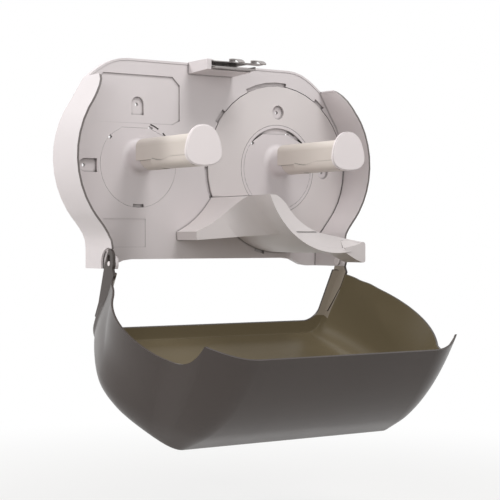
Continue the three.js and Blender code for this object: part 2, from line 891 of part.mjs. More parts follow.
// Side view of everything below the parting line, which dips once along the arm
function belowParting(shift) {
  const shape = new THREE.Shape();
  const floor = collar.riseZ - collar.radius - overrun;
  shape.moveTo(arm.endY - overrun, floor);
  shape.lineTo(arm.startY + overrun, floor);
  shape.lineTo(arm.startY + overrun, arm.noseLedgeZ + shift);
  shape.lineTo(arm.roundEndY, arm.noseLedgeZ + shift);
  const run = arm.endY - overrun - arm.roundEndY;
  for (let i = 0; i <= partingSteps; i += 1) {
    const y = arm.roundEndY + (run * i) / partingSteps;
    shape.lineTo(y, partingZ(y) + shift);
  }
  shape.closePath();
  return shape;
}
const partingSteps = 18;

function partingZ(y) {
  const away = Math.min(Math.abs(y - arm.dipY) / arm.dipHalf, 1);
  return arm.ledgeZ - (arm.dipDepth * (1 + Math.cos(Math.PI * away))) / 2;
}

function armNose(solid, centreX) {
  const reach = arm.halfWidth + overrun;
  const shape = new THREE.Shape();
  const r = arm.noseRadius;
  const high = arm.highZ + overrun;
  shape.moveTo(arm.startY - r, high);
  shape.lineTo(arm.startY - r, arm.highZ);
  shape.absarc(arm.startY - r, arm.highZ - r, r, Math.PI / 2, 0, true);
  shape.lineTo(arm.startY, arm.highZ - r);
  shape.lineTo(arm.startY + overrun * 2, arm.highZ - r);
  shape.lineTo(arm.startY + overrun * 2, high);
  shape.closePath();
  return solid.subtract(sidePrism(shape, centreX - reach, centreX + reach));
}

function stubSocket(centreX) {
  return barY(collar.radius + fit.seat, centreX, collar.riseZ, collar.endY - fit.seat, 0, roundSides);
}

function armLower(name, centreX) {
  const square = slab(placedSection(0, centreX), arm.endY, arm.roundEndY);
  const round = barY(collar.radius, centreX, collar.riseZ, arm.roundEndY - plate.wall,
    collar.endY - fit.seat, roundSides);
  const below = sidePrism(belowParting(0), centreX - arm.halfWidth - overrun,
    centreX + arm.halfWidth + overrun);
  const inside = placedSection(plate.wall, centreX);
  const squareHollow = slab(inside, arm.endY - overrun, arm.roundEndY - plate.wall);
  const roundHollow = barY(collar.radius - plate.wall, centreX, collar.riseZ,
    arm.roundEndY - plate.wall * 2, collar.endY - plate.wall * 2, roundSides);
  const solid = square.add(round).intersect(below).subtract(squareHollow).subtract(roundHollow);
  return meshOf(name, solid, 'spindle');
}

function armUpper(name, centreX) {
  const body = slab(placedSection(arm.ledgeStep, centreX), arm.endY, arm.startY - arm.ledgeStep);
  const below = sidePrism(belowParting(fit.seat), centreX - arm.halfWidth - overrun,
    centreX + arm.halfWidth + overrun);
  const hollow = slab(placedSection(plate.wall + arm.ledgeStep, centreX), arm.endY - overrun,
    collar.endY - plate.wall * 2);
  const solid = armNose(body.subtract(below).subtract(hollow).subtract(stubSocket(centreX)), centreX);
  return meshOf(name, solid, 'spindle');
}

// Egg-shaped end plate, narrower at the top
function capShape(centreX, margin) {
  const half = cap.halfWidth - margin;
  const top = cap.centreZ + cap.height / 2 - margin;
  const bottom = cap.centreZ - cap.height / 2 + margin;
  const widestZ = cap.centreZ - cap.height * capShares.widest;
  const shape = new THREE.Shape();
  shape.moveTo(centreX, top);
  shape.bezierCurveTo(centreX - half * capShares.topPull, top,
    centreX - half * capShares.flankX, widestZ + cap.height * capShares.flankZ,
    centreX - half, widestZ);
  shape.bezierCurveTo(centreX - half * capShares.lowX, bottom + cap.height * capShares.lowZ,
    centreX - half * capShares.bottomPull, bottom,
    centreX, bottom);
  shape.bezierCurveTo(centreX + half * capShares.bottomPull, bottom,
    centreX + half * capShares.lowX, bottom + cap.height * capShares.lowZ,
    centreX + half, widestZ);
  shape.bezierCurveTo(centreX + half * capShares.flankX, widestZ + cap.height * capShares.flankZ,
    centreX + half * capShares.topPull, top,
    centreX, top);
  return shape;
}
const capShares = {
  widest: 0.12, topPull: 0.7, flankX: 0.93, flankZ: 0.28, lowX: 1.04, lowZ: 0.1, bottomPull: 0.62,
};

function endCap(name, centreX) {
  const backY = cap.frontY + cap.thickness;
  const front = slab(capShape(centreX, cap.edge), cap.frontY, cap.frontY + cap.edge, arcSteps.round);
  const body = slab(capShape(centreX, 0), cap.frontY + cap.edge, backY, arcSteps.round);
  const plugSection = placedSection(plate.wall + arm.ledgeStep + fit.seat, centreX);
  const plug = slab(plugSection, backY - cap.edge, backY + cap.plug);
  return meshOf(name, union([front, body, plug]), 'cap');
}

// Transfer shutter

function shutterRing() {
  const frontY = -plate.depth;
  const backY = frontY + ring.thickness;
  let solid = barY(ring.radius, hubX, 0, frontY, backY, bigSides);
  solid = solid.subtract(barY(ring.bore, hubX, 0, frontY - overrun, backY + overrun, bigSides));
  [[wallScrew.topX, wallScrew.topZ], [wallScrew.sideX, wallScrew.sideZ]].forEach(([x, z]) => {
    solid = solid.subtract(barY(ring.accessRadius, x, z, frontY - overrun, backY + overrun, roundSides));
  });
  return solid;
}

// Front-view outline of the trough: outer arc, straight top edge and inner arc
function troughShape(margin) {
  const outer = trough.outer - margin;
  const inner = trough.inner + margin;
  const apexZ = trough.apexZ - margin;
  const shape = new THREE.Shape();
  const outerStart = Math.PI - Math.asin(apexZ / outer);
  const innerStart = Math.PI - Math.asin((apexZ - trough.apexDrop) / inner);
  const flatX = hubX + outer * Math.cos(outerStart) + trough.apexWidth;
  const lineAngle = THREE.MathUtils.degToRad(trough.lineStartAngle);
  const end = THREE.MathUtils.degToRad(trough.endAngle) - margin / outer;
  const endX = hubX + outer * Math.cos(end);
  shape.absarc(hubX, 0, outer, outerStart, end, false);
  shape.lineTo(endX, topEdgeZ(endX) - margin);
  shape.absarc(hubX, 0, inner, lineAngle, innerStart, true);
  shape.quadraticCurveTo(flatX + trough.apexDrop * apexPullShare, apexZ, flatX, apexZ);
  shape.closePath();
  return shape;
}

const apexPullShare = 0.8;

// Height of the straight top edge of the trough
function topEdgeZ(x) {
  const angle = THREE.MathUtils.degToRad(trough.lineStartAngle);
  const startX = hubX + trough.inner * Math.cos(angle);
  const startZ = trough.inner * Math.sin(angle);
  const slope = (trough.lineEndZ - startZ) / (trough.lineEndX - startX);
  return startZ + slope * (x - startX);
}

// Everything ahead of the leaning front lip
function lipCone(setBack) {
  const lean = (trough.frontY - trough.lipInnerY) / (trough.outer - trough.inner);
  const centreY = trough.lipInnerY - lean * trough.inner + setBack;
  const reach = trough.outer + overrun;
  const points = [
    new THREE.Vector2(0, centreY),
    new THREE.Vector2(0, centreY + lean * reach - overrun),
    new THREE.Vector2(reach, centreY + lean * reach - overrun),
    new THREE.Vector2(reach, centreY + lean * reach),
    new THREE.Vector2(0, centreY),
  ];
  const geometry = new THREE.LatheGeometry(points, bigSides);
  geometry.translate(hubX, 0, 0);
  return solidOf(geometry);
}

function troughSolid(margin, backY) {
  const body = slab(troughShape(margin), trough.frontY - overrun, backY, arcSteps.round);
  return body.subtract(lipCone(margin));
}

// Shallow step across the lower lip
function lipStep() {
  const frontY = trough.frontY - overrun;
  const backY = trough.lipInnerY + overrun * 2;
  const zone = box(hubX - trough.outer, trough.lineEndX + trough.outer, frontY, backY,
    -trough.outer - overrun, trough.stepZ);
  const disc = barY(trough.stepRadius, hubX, 0, frontY, backY, bigSides);
  return lipCone(trough.stepDepth).intersect(zone).intersect(disc);
}

// Small oblong nick in the lip
function lipNick() {
  const x = hubX + trough.nickFromHub;
  const run = new THREE.Vector2(trough.nickLength, -trough.nickDrop).normalize();
  const across = new THREE.Vector2(-run.y, run.x).multiplyScalar(trough.nickWidth / 2);
  const along = run.multiplyScalar(trough.nickLength);
  const outline = polygon([
    [x - across.x, trough.nickZ - across.y],
    [x + along.x - across.x, trough.nickZ + along.y - across.y],
    [x + along.x + across.x, trough.nickZ + along.y + across.y],
    [x + across.x, trough.nickZ + across.y],
  ]);
  return slab(outline, trough.frontY - overrun, trough.lipInnerY + overrun * 2)
    .intersect(lipCone(trough.nickDepth));
}

// Wing that follows the left roll
function wingShape(margin) {
  const shape = new THREE.Shape();
  const steps = 10;
  const fromAngle = Math.atan2(wing.apexZ - wing.curveCentreZ, wing.apexX - wing.curveCentreX);
  const toAngle = Math.atan2(wing.tipTopZ - wing.curveCentreZ, wing.tipX - wing.curveCentreX);
  const radius = wing.curveRadius + margin;
  const rootRadius = trough.outer - trough.wall / 2 - margin;
  const apexZ = Math.min(trough.apexZ, wing.apexZ) - margin;
  for (let i = 0; i <= steps; i += 1) {
    const angle = fromAngle + ((toAngle - fromAngle) * i) / steps;
    const x = wing.curveCentreX + radius * Math.cos(angle);
    const z = Math.min(wing.curveCentreZ + radius * Math.sin(angle), apexZ);
    shape[i ? 'lineTo' : 'moveTo'](x, z);
  }
  shape.lineTo(wing.tipX + margin, wing.tipBottomZ + margin);
  shape.lineTo(wing.rootX, wing.rootZ + margin);
  const rootAngle = Math.atan2(wing.rootZ, wing.rootX - hubX) + Math.PI * 2;
  const apexAngle = Math.PI - Math.asin(apexZ / rootRadius);
  const rootSteps = 8;
  for (let i = 0; i <= rootSteps; i += 1) {
    const angle = rootAngle + ((apexAngle - rootAngle) * i) / rootSteps;
    shape.lineTo(hubX + rootRadius * Math.cos(angle), rootRadius * Math.sin(angle));
  }
  shape.closePath();
  return shape;
}

// Slope of the wing's front face, as depth gained for each step to the right
const wingSlope = (wing.apexDepthY - wing.tipDepthY) / (wing.apexX - wing.tipX);

function wingFrontY(x) {
  return wing.tipDepthY + wingSlope * (x - wing.tipX);
}

function wingSolid(margin, backY) {
  const prism = slab(wingShape(margin), trough.frontY + margin, backY);
  return prism.intersect(behindWingFront(margin).add(blendRing(margin)));
}

// Everything behind the wing's slanting front face
function behindWingFront(setBack) {
  const low = wing.tipX - longOverrun;
  const high = hubX;
  const shape = polygon([
    [low, overrun],
    [low, wingFrontY(low) + setBack],
    [high, wingFrontY(high) + setBack],
    [high, overrun],
  ]);
  return standing(shape, wing.tipBottomZ - longOverrun, overrun);
}

// Hollow curve that leads the wing's front face out along the trough
function blendRing(margin) {
  const r = wing.blendRadius;
  const centreR = trough.outer + r;
  const centreY = wingFrontY(wing.apexX) - r;
  const steps = 5;
  const points = [];
  const inner = trough.outer - trough.wall - margin;
  for (let i = 0; i <= steps; i += 1) {
    const angle = (Math.PI / 2) * (i / steps);
    points.push(new THREE.Vector2(
      centreR - (r + margin) * Math.cos(angle),
      centreY + (r + margin) * Math.sin(angle),
    ));
  }
  points.push(new THREE.Vector2(centreR, centreY + r + margin + overrun));
  points.push(new THREE.Vector2(inner, centreY + r + margin + overrun));
  points.push(new THREE.Vector2(inner, centreY));
  points.push(points[0].clone());
  const geometry = new THREE.LatheGeometry(points, bigSides);
  geometry.translate(hubX, 0, 0);
  const position = geometry.attributes.position;
  for (let i = 0; i < position.count; i += 1) {
    const shear = wingSlope * (position.getX(i) - wing.apexX);
    position.setY(i, position.getY(i) + shear);
  }
  return solidOf(geometry);
}

// Flared foot at the far end of the trough
function padSolid(margin, backY) {
  const p = endPad;
  const angle = THREE.MathUtils.degToRad(trough.endAngle - padShares.overlapDegrees);
  const startX = hubX + trough.outer * Math.cos(angle);
  const startZ = trough.outer * Math.sin(angle);
  const right = trough.lineEndX - margin;
  const topMargin = margin * padShares.topWall;
  const shape = new THREE.Shape();
  shape.moveTo(startX, startZ + margin);
  shape.lineTo(p.bottomX, p.dropZ + margin);
  const bendX = p.bottomX + p.round * padShares.bend;
  shape.quadraticCurveTo(bendX, p.bottomZ + margin, right - p.round, p.bottomZ + margin);
  shape.quadraticCurveTo(right, p.bottomZ + margin, right, p.bottomZ + margin + p.round);
  shape.lineTo(right, trough.lineEndZ - topMargin - p.round);
  shape.quadraticCurveTo(right, trough.lineEndZ - topMargin,
    right - p.round, topEdgeZ(right - p.round) - topMargin);
  shape.lineTo(startX, topEdgeZ(startX) - topMargin);
  shape.closePath();
  return slab(shape, p.frontY + margin, backY);
}
const padShares = { overlapDegrees: 5, topWall: 1.3, bend: 3 };

function transferShutter() {
  const faceY = -plate.depth - fit.running;
  const throughY = -plate.depth + ring.thickness + overrun;
  const wall = trough.wall;
  const root = slab(troughShape(0), faceY - overrun, -plate.depth + ring.thickness, arcSteps.round)
    .intersect(barY(ring.radius, hubX, 0, faceY - overrun * 2, 0, bigSides));
  const outside = union([troughSolid(0, faceY), wingSolid(0, faceY), padSolid(0, endPad.backY), root]);
  const inRing = barY(ring.radius - wall, hubX, 0, faceY - overrun * 2, throughY, bigSides);
  const through = slab(troughShape(wall), faceY - overrun, throughY, arcSteps.round).intersect(inRing);
  const inside = union([
    troughSolid(wall, faceY + overrun),
    wingSolid(wall, faceY + overrun),
    through,
  ]).subtract(ringCollar(faceY));
  const padInside = padSolid(wall, endPad.backY + overrun);
  const solid = shutterRing().add(outside).subtract(inside).subtract(padInside).subtract(lipStep())
    .subtract(lipNick());
  return meshOf('transfer_shutter', solid, 'shutter');
}

// Keeps the ring whole under its rim where the hollow passes behind it
function ringCollar(faceY) {
  const outer = barY(ring.radius + overrun, hubX, 0, faceY, 0, bigSides);
  const inner = barY(ring.radius - trough.wall, hubX, 0, faceY - overrun, overrun, bigSides);
  return outer.subtract(inner);
}

// Front cover, built closed

function bottomCorner(from, to) {
  return cubic(from, new THREE.Vector2(to.x, from.y), new THREE.Vector2(to.x, from.y), to,
    sampleCounts.bottomCorner);
}

// Outline where the cover starts: the housing's own, with the hood raised over the top edge
function coverRimOutline() {
  const start = new THREE.Vector2(plate.footX - cornerRun, cover.bottomZ);
  const foot = new THREE.Vector2(plate.footX, plate.footTopZ);
  const half = [start];
  half.push(...bottomCorner(start, foot));
  half.push(...waistPoints(foot, lobe.lowAngle, new THREE.Vector2(0, waist.footPull), waist.lobePull));
  half.push(...lobePoints(lobe.lowAngle, lobe.highAngle));
  half.push(...crownPoints(onLobe(lobe.highAngle), new THREE.Vector2(ear.x, cover.earZ),
    cover.hoodHalf, cover.hoodZ));
  return mirrored(half);
}
const cornerRun = 14;

// Fuller outline part way forward, where the waist has swelled out
function coverFullOutline() {
  const start = new THREE.Vector2(cover.fullFootX - cornerRun, cover.bottomZ);
  const foot = new THREE.Vector2(cover.fullFootX, cover.fullFootZ);
  const half = [start];
  half.push(...bottomCorner(start, foot));
  const pull = new THREE.Vector2(fullWaist.footPullX, fullWaist.footPullZ);
  half.push(...waistPoints(foot, fullWaist.meetAngle, pull, fullWaist.lobePull));
  half.push(...lobePoints(fullWaist.meetAngle, lobe.highAngle));
  half.push(...crownPoints(onLobe(lobe.highAngle), new THREE.Vector2(ear.x, cover.earZ),
    cover.hoodHalf, cover.hoodZ));
  return mirrored(half);
}
const fullWaist = { meetAngle: -11, footPullX: 14, footPullZ: 20, lobePull: 28 };

// Flat outline that the front face comes in to
function coverFrontOutline() {
  const start = new THREE.Vector2(cover.frontHalfBottom - cornerRun, cover.bottomZ + frontLift);
  const foot = new THREE.Vector2(cover.frontHalfBottom, cover.bottomZ + frontLift + cornerRun);
  const widest = new THREE.Vector2(cover.frontHalfTop, cover.frontCornerZ);
  const level = new THREE.Vector2(cover.frontHalfTop * frontShares.level, cover.frontTopZ);
  const half = [start];
  half.push(...bottomCorner(start, foot));
  half.push(...straight(foot, foot.clone().lerp(widest, frontShares.lowSide), sampleCounts.waist));
  half.push(...straight(half[half.length - 1], widest, sampleCounts.lobe));
  half.push(...straight(widest, widest.clone().lerp(level, frontShares.shoulder), sampleCounts.shoulder));
  const from = half[half.length - 1];
  half.push(...cubic(from, new THREE.Vector2(from.x, level.y * frontShares.crownPull),
    new THREE.Vector2(from.x, level.y), level, sampleCounts.crown));
  return mirrored(half);
}
const frontLift = 4;
const frontShares = { level: 0.73, lowSide: 0.35, shoulder: 0.15, crownPull: 0.45 };

function straight(from, to, count) {
  const points = [];
  for (let i = 1; i <= count; i += 1) {
    points.push(from.clone().lerp(to, i / count));
  }
  return points;
}

// Depth of the leaning front face at a height
function frontFaceY(z) {
  const share = THREE.MathUtils.clamp(
    (z - cover.bottomZ) / (cover.frontTopZ - cover.bottomZ), 0, 1);
  return THREE.MathUtils.lerp(cover.frontBottomY, cover.frontTopY, share);
}

// Closed skin swept from the rim outline to the front face, moved inwards by a wall
function coverSkin(wall) {
  const rim = inset(coverRimOutline(), wall);
  const full = inset(coverFullOutline(), wall);
  const front = inset(coverFrontOutline(), wall);
  const rings = [];
  const ringAt = (depthShare, roundShare) => rim.map((p, i) => {
    const bulge = THREE.MathUtils.smoothstep(depthShare, fullness.from, fullness.to);
    const base = p.clone().lerp(full[i], bulge);
    const draft = draftAt(p.y, depthShare);
    const turn = (Math.PI / 2) * roundShare;
    const at = front[i].clone().lerp(base, (1 - draft) * Math.cos(turn));
    const wallY = THREE.MathUtils.lerp(cover.startY, cover.roundStartY, depthShare);
    const y = THREE.MathUtils.lerp(wallY, frontFaceY(at.y) + wall, Math.sin(turn));
    return new THREE.Vector3(at.x, y, at.y);
  });
  for (let k = 0; k <= ringCounts.wall; k += 1) rings.push(ringAt(k / ringCounts.wall, 0));
  for (let k = 1; k <= ringCounts.round; k += 1) rings.push(ringAt(1, k / ringCounts.round));
  return loft(rings);
}
const ringCounts = { wall: 5, round: 6 };
const fullness = { from: 0.45, to: 0.95 };

// Share of the way in that the wall has leaned: the sides lean steadily, the top late
function draftAt(z, depthShare) {
  const height = THREE.MathUtils.smoothstep(z, lobe.centreZ, cover.hoodZ);
  const side = draftShares.side * depthShare;
  const top = draftShares.top * depthShare ** draftShares.topPower;
  return THREE.MathUtils.lerp(side, top, height);
}
const draftShares = { side: 0.09, top: 0.45, topPower: 2.55 };

// Closed solid through a list of rings, capped flat at both ends
function loft(rings) {
  const count = rings[0].length;
  const positions = [];
  const triangle = (a, b, c) => [a, b, c].forEach((v) => positions.push(v.x, v.y, v.z));
  for (let k = 0; k + 1 < rings.length; k += 1) {
    for (let i = 0; i < count; i += 1) {
      const j = (i + 1) % count;
      triangle(rings[k][i], rings[k + 1][j], rings[k + 1][i]);
      triangle(rings[k][i], rings[k][j], rings[k + 1][j]);
    }
  }
  const capEnd = (points, facesFront) => {
    const middle = new THREE.Vector3();
    points.forEach((p) => middle.add(p));
    middle.divideScalar(count);
    points.forEach((p, i) => {
      const next = points[(i + 1) % count];
      if (facesFront) triangle(p, next, middle);
      else triangle(next, p, middle);
    });
  };
  capEnd(rings[rings.length - 1], true);
  capEnd(rings[0], false);
  const geometry = new THREE.BufferGeometry();
  geometry.setAttribute('position', new THREE.BufferAttribute(new Float32Array(positions), 3));
  return solidOf(geometry);
}

// Everything behind the cover's rim
function behindRim() {
  const reachX = lobe.halfWidth + overrun * 2;
  const points = seamCurve(-fit.coverSeam);
  const backY = overrun;
  const shape = new THREE.Shape();
  const ahead = hinge.y - lug.radius - fit.coverSeam;
  shape.moveTo(backY, cover.hoodZ + overrun);
  shape.lineTo(seam.topY, cover.hoodZ + overrun);
  shape.lineTo(seam.topY, points[0].y + overrun);
  points.forEach((p) => shape.lineTo(p.x, p.y));
  shape.lineTo(ahead, hinge.z + lug.radius);
  shape.lineTo(ahead, cover.bottomZ - overrun);
  shape.lineTo(backY, cover.bottomZ - overrun);
  shape.closePath();
  return sidePrism(shape, -reachX, reachX);
}

function openingCut() {
  const backY = 0;
  const r = coverOpening.corner;
  const half = coverOpening.half;
  const shape = new THREE.Shape();
  shape.moveTo(-half, backY);
  shape.lineTo(-half, coverOpening.frontY + r);
  shape.quadraticCurveTo(-half, coverOpening.frontY, -half + r, coverOpening.frontY);
  shape.lineTo(half - r, coverOpening.frontY);
  shape.quadraticCurveTo(half, coverOpening.frontY, half, coverOpening.frontY + r);
  shape.lineTo(half, backY);
  shape.closePath();
  return standing(shape, cover.bottomZ - overrun, cover.bottomZ + openingTall);
}
const openingTall = 16;

// Slotted eye at the end of the side wall, with the arm that leads to it
function hingeEye(side) {
  const angle = THREE.MathUtils.degToRad(eye.slotAngle);
  const along = new THREE.Vector2(Math.cos(angle), Math.sin(angle));
  const far = new THREE.Vector2(hinge.y, hinge.z).addScaledVector(along, eye.slotRun);
  const shape = new THREE.Shape();
  const lowAngle = Math.asin((eye.lowestZ - far.y) / eye.radius);
  shape.moveTo(eye.armFrontY, cover.bottomZ);
  shape.lineTo(hinge.y - eye.radius * eyeShares.heel, eye.lowestZ);
  shape.absarc(far.x, far.y, eye.radius, lowAngle, angle + Math.PI / 2, false);
  shape.absarc(hinge.y, hinge.z, eye.radius, angle + Math.PI / 2, eyeShares.backTurn * Math.PI, false);
  shape.lineTo(eye.neckY, eye.neckZ);
  shape.lineTo(eye.neckY - fit.coverSeam, eye.armTopZ);
  shape.lineTo(hinge.y - eye.radius * 2, eye.armTopZ);
  shape.closePath();
  shape.holes.push(eyeSlot(far, angle));
  const outerX = plate.footX;
  const innerX = outerX - eye.thickness;
  const low = Math.min(side * innerX, side * outerX);
  const high = Math.max(side * innerX, side * outerX);
  const notchRadius = eye.slotRun + eye.radius;
  const inNotch = barX(notchRadius, hinge.y, hinge.z, low - overrun, high + overrun, roundSides);
  return sidePrism(shape, low, high).subtract(behindRim().subtract(inNotch));
}
const eyeShares = { heel: 0.5, backTurn: 0.52 };

function eyeSlot(far, angle) {
  const slot = new THREE.Path();
  const quarter = Math.PI / 2;
  slot.absarc(hinge.y, hinge.z, eye.slotRadius, angle - quarter, angle + quarter, true);
  slot.absarc(far.x, far.y, eye.slotRadius, angle + quarter, angle - quarter, true);
  slot.closePath();
  return slot;
}

// Ribs under the hood that drop behind the latch hooks
function catchRibs() {
  return union(latch.hookXs.map(([low, high]) => box(
    low - catchRib.sideMargin,
    high + catchRib.sideMargin,
    latch.hookBackY + fit.coverSeam,
    latch.hookBackY + fit.coverSeam + catchRib.thickness,
    latch.hookTopZ + catchRib.gapAboveHook,
    cover.hoodZ - cover.wall / 2,
  )));
}

function frontCover() {
  let solid = coverSkin(0).subtract(coverSkin(cover.wall));
  const ribs = catchRibs().intersect(coverSkin(cover.wall / 2));
  solid = solid.subtract(behindRim()).subtract(openingCut()).add(ribs);
  [-1, 1].forEach((side) => {
    solid = solid.add(hingeEye(side));
  });
  const mesh = meshOf('front_cover', solid, 'smoke');
  mesh.geometry.translate(0, -hinge.y, -hinge.z);
  mesh.geometry.rotateX(THREE.MathUtils.degToRad(hinge.openAngle));
  mesh.geometry.translate(0, hinge.y, hinge.z);
  return mesh;
}

// Shouldered pin: it presses into the lug from inside and ends flush in the eye
function hingePin(name, side) {
  const lugX = plate.footX - eye.thickness - fit.running;
  const innerX = lugX - lug.thickness - fit.seat;
  const headX = innerX - pinHead.height;
  const span = (from, to) => [Math.min(side * from, side * to), Math.max(side * from, side * to)];
  const shank = barX(hinge.pinRadius, hinge.y, hinge.z, ...span(headX + pinHead.height / 2, plate.footX));
  const head = barX(pinHead.radius, hinge.y, hinge.z, ...span(headX, innerX));
  return meshOf(name, shank.add(head), 'cap');
}
const pinHead = { radius: 6, height: 2 };

// Lock

function lockHousing() {
  const backY = -plate.depth - fit.seat;
  const cheek = box(lock.left, lock.left + lock.cheek, lock.frontY, backY, lock.bottomZ, lock.topZ);
  const rearTopZ = latch.pivotZ - latch.pinRadius - overrun;
  const rear = box(lock.left, lock.right, backY - lock.wall, backY, lock.bottomZ, rearTopZ);
  const shelf = box(lock.left, lock.right, lock.frontY + lock.wall, backY, lock.bottomZ,
    lock.bottomZ + lock.wall);
  const roof = box(lock.left, lock.left + lock.cheek * 2, lock.frontY + lock.wall * 2, backY,
    lock.topZ - lock.wall / 2, lock.topZ);
  const holes = union(lockScrewSpots.map(([x, z]) => barY(screw.shankRadius + fit.seat, x, z,
    backY - lock.wall - overrun, backY + overrun)));
  const bevel = taperUnder();
  const body = union([cheek, rear, shelf, roof]);
  return meshOf('lock_housing', body.subtract(holes).subtract(bevel), 'housing');
}

// The underside rises a little towards the front
function taperUnder() {
  const shape = polygon([
    [-plate.depth, lock.bottomZ],
    [lock.frontY - overrun, lock.bottomZ + lock.wall * underShare],
    [lock.frontY - overrun, lock.bottomZ - overrun],
    [-plate.depth, lock.bottomZ - overrun],
  ]);
  return sidePrism(shape, lock.left - overrun, lock.right + overrun);
}
const underShare = 0.8;

function lockBase() {
  const low = lock.left + lock.cheek + fit.seat;
  const floorZ = lock.bottomZ + lock.wall + fit.seat;
  const backY = -plate.depth - fit.seat * 2 - lock.wall;
  const floor = box(low, lock.right, lock.steelFrontY, backY, floorZ, floorZ + lock.steel);
  const sideTop = floorZ + lock.sideHeight;
  const side = box(lock.right - lock.steel, lock.right, lock.steelFrontY, backY, floorZ, sideTop);
  const inner = box(low, low + lock.steel, lock.frontY + lock.wall, backY, floorZ, sideTop);
  const frontLip = box(low, lock.right, lock.steelFrontY, lock.steelFrontY + lock.steel, floorZ,
    floorZ + lock.wall);
  const earTop = latch.pivotZ + latch.pinRadius + lock.steel;
  const earFrontY = latch.pivotY - latch.pinRadius - lock.wall;
  const ears = [low, lock.right - lock.steel].map((x) => box(
    x, x + lock.steel, earFrontY, backY, floorZ, earTop));
  const boreRadius = latch.pinRadius + fit.seat;
  const bore = barX(boreRadius, latch.pivotY, latch.pivotZ, low - overrun, lock.right + overrun);
  return meshOf('lock_base', union([floor, side, inner, frontLip, ...ears]).subtract(bore), 'steel');
}

// Sprung plate with two curled hooks, turning on the latch pin
function latchPlate() {
  const low = lock.left + lock.cheek + fit.seat * 2 + lock.steel + fit.running;
  const high = lock.right - lock.steel - fit.running;
  const backY = latch.pivotY - latch.pinRadius;
  const frontY = latch.hookBackY - latch.curlThickness * 2;
  const deck = box(low, high, frontY, backY, latch.plateZ, latch.plateZ + lock.steel);
  const tongue = box(high - lock.steel, latch.plateRight, frontY, latch.hookBackY + latch.tongueDepth,
    latch.plateZ, latch.plateZ + lock.steel);
  const barrel = union([low, high - lock.cheek].map((x) => barrelOn(x, x + lock.cheek)));
  const hooks = union(latch.hookXs.map(([a, b]) => hook(a, b)));
  return meshOf('latch_plate', union([deck, tongue, barrel, hooks]), 'steel');
}

function barrelOn(low, high) {
  const outer = latch.pinRadius + fit.seat + lock.steel;
  const sleeve = barX(outer, latch.pivotY, latch.pivotZ, low, high);
  const strap = box(low, high, latch.pivotY - outer - overrun, latch.pivotY,
    latch.plateZ, latch.plateZ + lock.steel);
  const boreRadius = latch.pinRadius + fit.running;
  const bore = barX(boreRadius, latch.pivotY, latch.pivotZ, low - overrun, high + overrun);
  return sleeve.add(strap).subtract(bore);
}

// One hook: an upright back, a crown and a ramp that falls and curls under at the front
function hook(low, high) {
  const t = latch.curlThickness;
  const topZ = latch.hookTopZ;
  const baseZ = latch.plateZ;
  const shape = new THREE.Shape();
  shape.moveTo(latch.hookBackY, baseZ);
  shape.lineTo(latch.hookBackY, topZ);
  const run = latch.hookFrontY - latch.hookBackY;
  shape.bezierCurveTo(latch.hookBackY + run * hookShares.crownY, topZ,
    latch.hookFrontY - run * hookShares.noseY, topZ - t,
    latch.hookFrontY, latch.hookTipZ);
  shape.lineTo(latch.hookFrontY + t, latch.hookTipZ - t * hookShares.curl);
  shape.bezierCurveTo(latch.hookFrontY - run * hookShares.noseY, topZ - t * 2,
    latch.hookBackY + run * hookShares.crownY, topZ - t,
    latch.hookBackY - t, topZ - t);
  shape.lineTo(latch.hookBackY - t, baseZ);
  shape.closePath();
  const sheet = sidePrism(shape, low, high, arcSteps.round);
  const rootY = latch.hookBackY - t * hookShares.root;
  const root = box(low, high, rootY, latch.hookBackY, baseZ, baseZ + lock.steel);
  return sheet.add(root);
}
const hookShares = { crownY: 0.35, noseY: 0.12, curl: 0.8, root: 3 };

function latchPin() {
  const low = lock.left + lock.cheek + fit.seat + lock.steel / 2;
  const high = lock.right + lock.steel;
  return meshOf('latch_pin', barX(latch.pinRadius, latch.pivotY, latch.pivotZ, low, high), 'steel');
}

// Compression spring between the lock's floor and the latch plate
function latchSpring() {
  const low = lock.bottomZ + lock.wall + fit.seat * 2 + lock.steel + coil.wire;
  const high = latch.plateZ - fit.seat - coil.wire;
  const points = [];
  const stepsPerTurn = 8;
  const total = coil.turns * stepsPerTurn;
  for (let i = 0; i <= total; i += 1) {
    const angle = (i / stepsPerTurn) * Math.PI * 2;
    points.push(new THREE.Vector3(
      coil.x + coil.radius * Math.cos(angle),
      coil.y + coil.radius * Math.sin(angle),
      low + ((high - low) * i) / total,
    ));
  }
  const section = new THREE.Shape();
  section.absarc(0, 0, coil.wire / 2, 0, Math.PI * 2, false);
  const geometry = new THREE.ExtrudeGeometry(section, {
    steps: total,
    extrudePath: new THREE.CatmullRomCurve3(points),
    curveSegments: arcSteps.small - 1,
    bevelEnabled: false,
  });
  return meshOf('latch_spring', solidOf(geometry), 'steel');
}

// Assembly

const dispenser = new THREE.Group();
dispenser.name = 'double_roll_dispenser';

dispenser.add(backPlate());
dispenser.add(frontCover());
dispenser.add(transferShutter());
[['left', -1], ['right', 1]].forEach(([word, side]) => {
  const x = side * hubX;
  dispenser.add(hingePin(`hinge_pin_${word}`, side));
  dispenser.add(hubPart(`hub_${word}`, x));
  dispenser.add(armLower(`roll_arm_${word}`, x));
  dispenser.add(armUpper(`roll_arm_shell_${word}`, x));
  dispenser.add(endCap(`end_cap_${word}`, x));
});
[['left', -1], ['right', 1]].forEach(([word, side]) => {
  hubScrewSpots(side * hubX).forEach((spot, i) => {
    dispenser.add(screwMesh(`hub_screw_${word}_${i + 1}`, spot));
  });
});
lockScrewSpots.forEach((spot, i) => dispenser.add(screwMesh(`lock_screw_${i + 1}`, spot)));
dispenser.add(lockHousing());
dispenser.add(lockBase());
dispenser.add(latchPlate());
dispenser.add(latchPin());
dispenser.add(latchSpring());

export default dispenser;
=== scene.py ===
# Looks for a wall dispenser for two large paper rolls, shown with its smoke cover swung open.
# Every piece is in metres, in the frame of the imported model; the sizes below are in millimetres,
# but for the stage's.

import json
import math

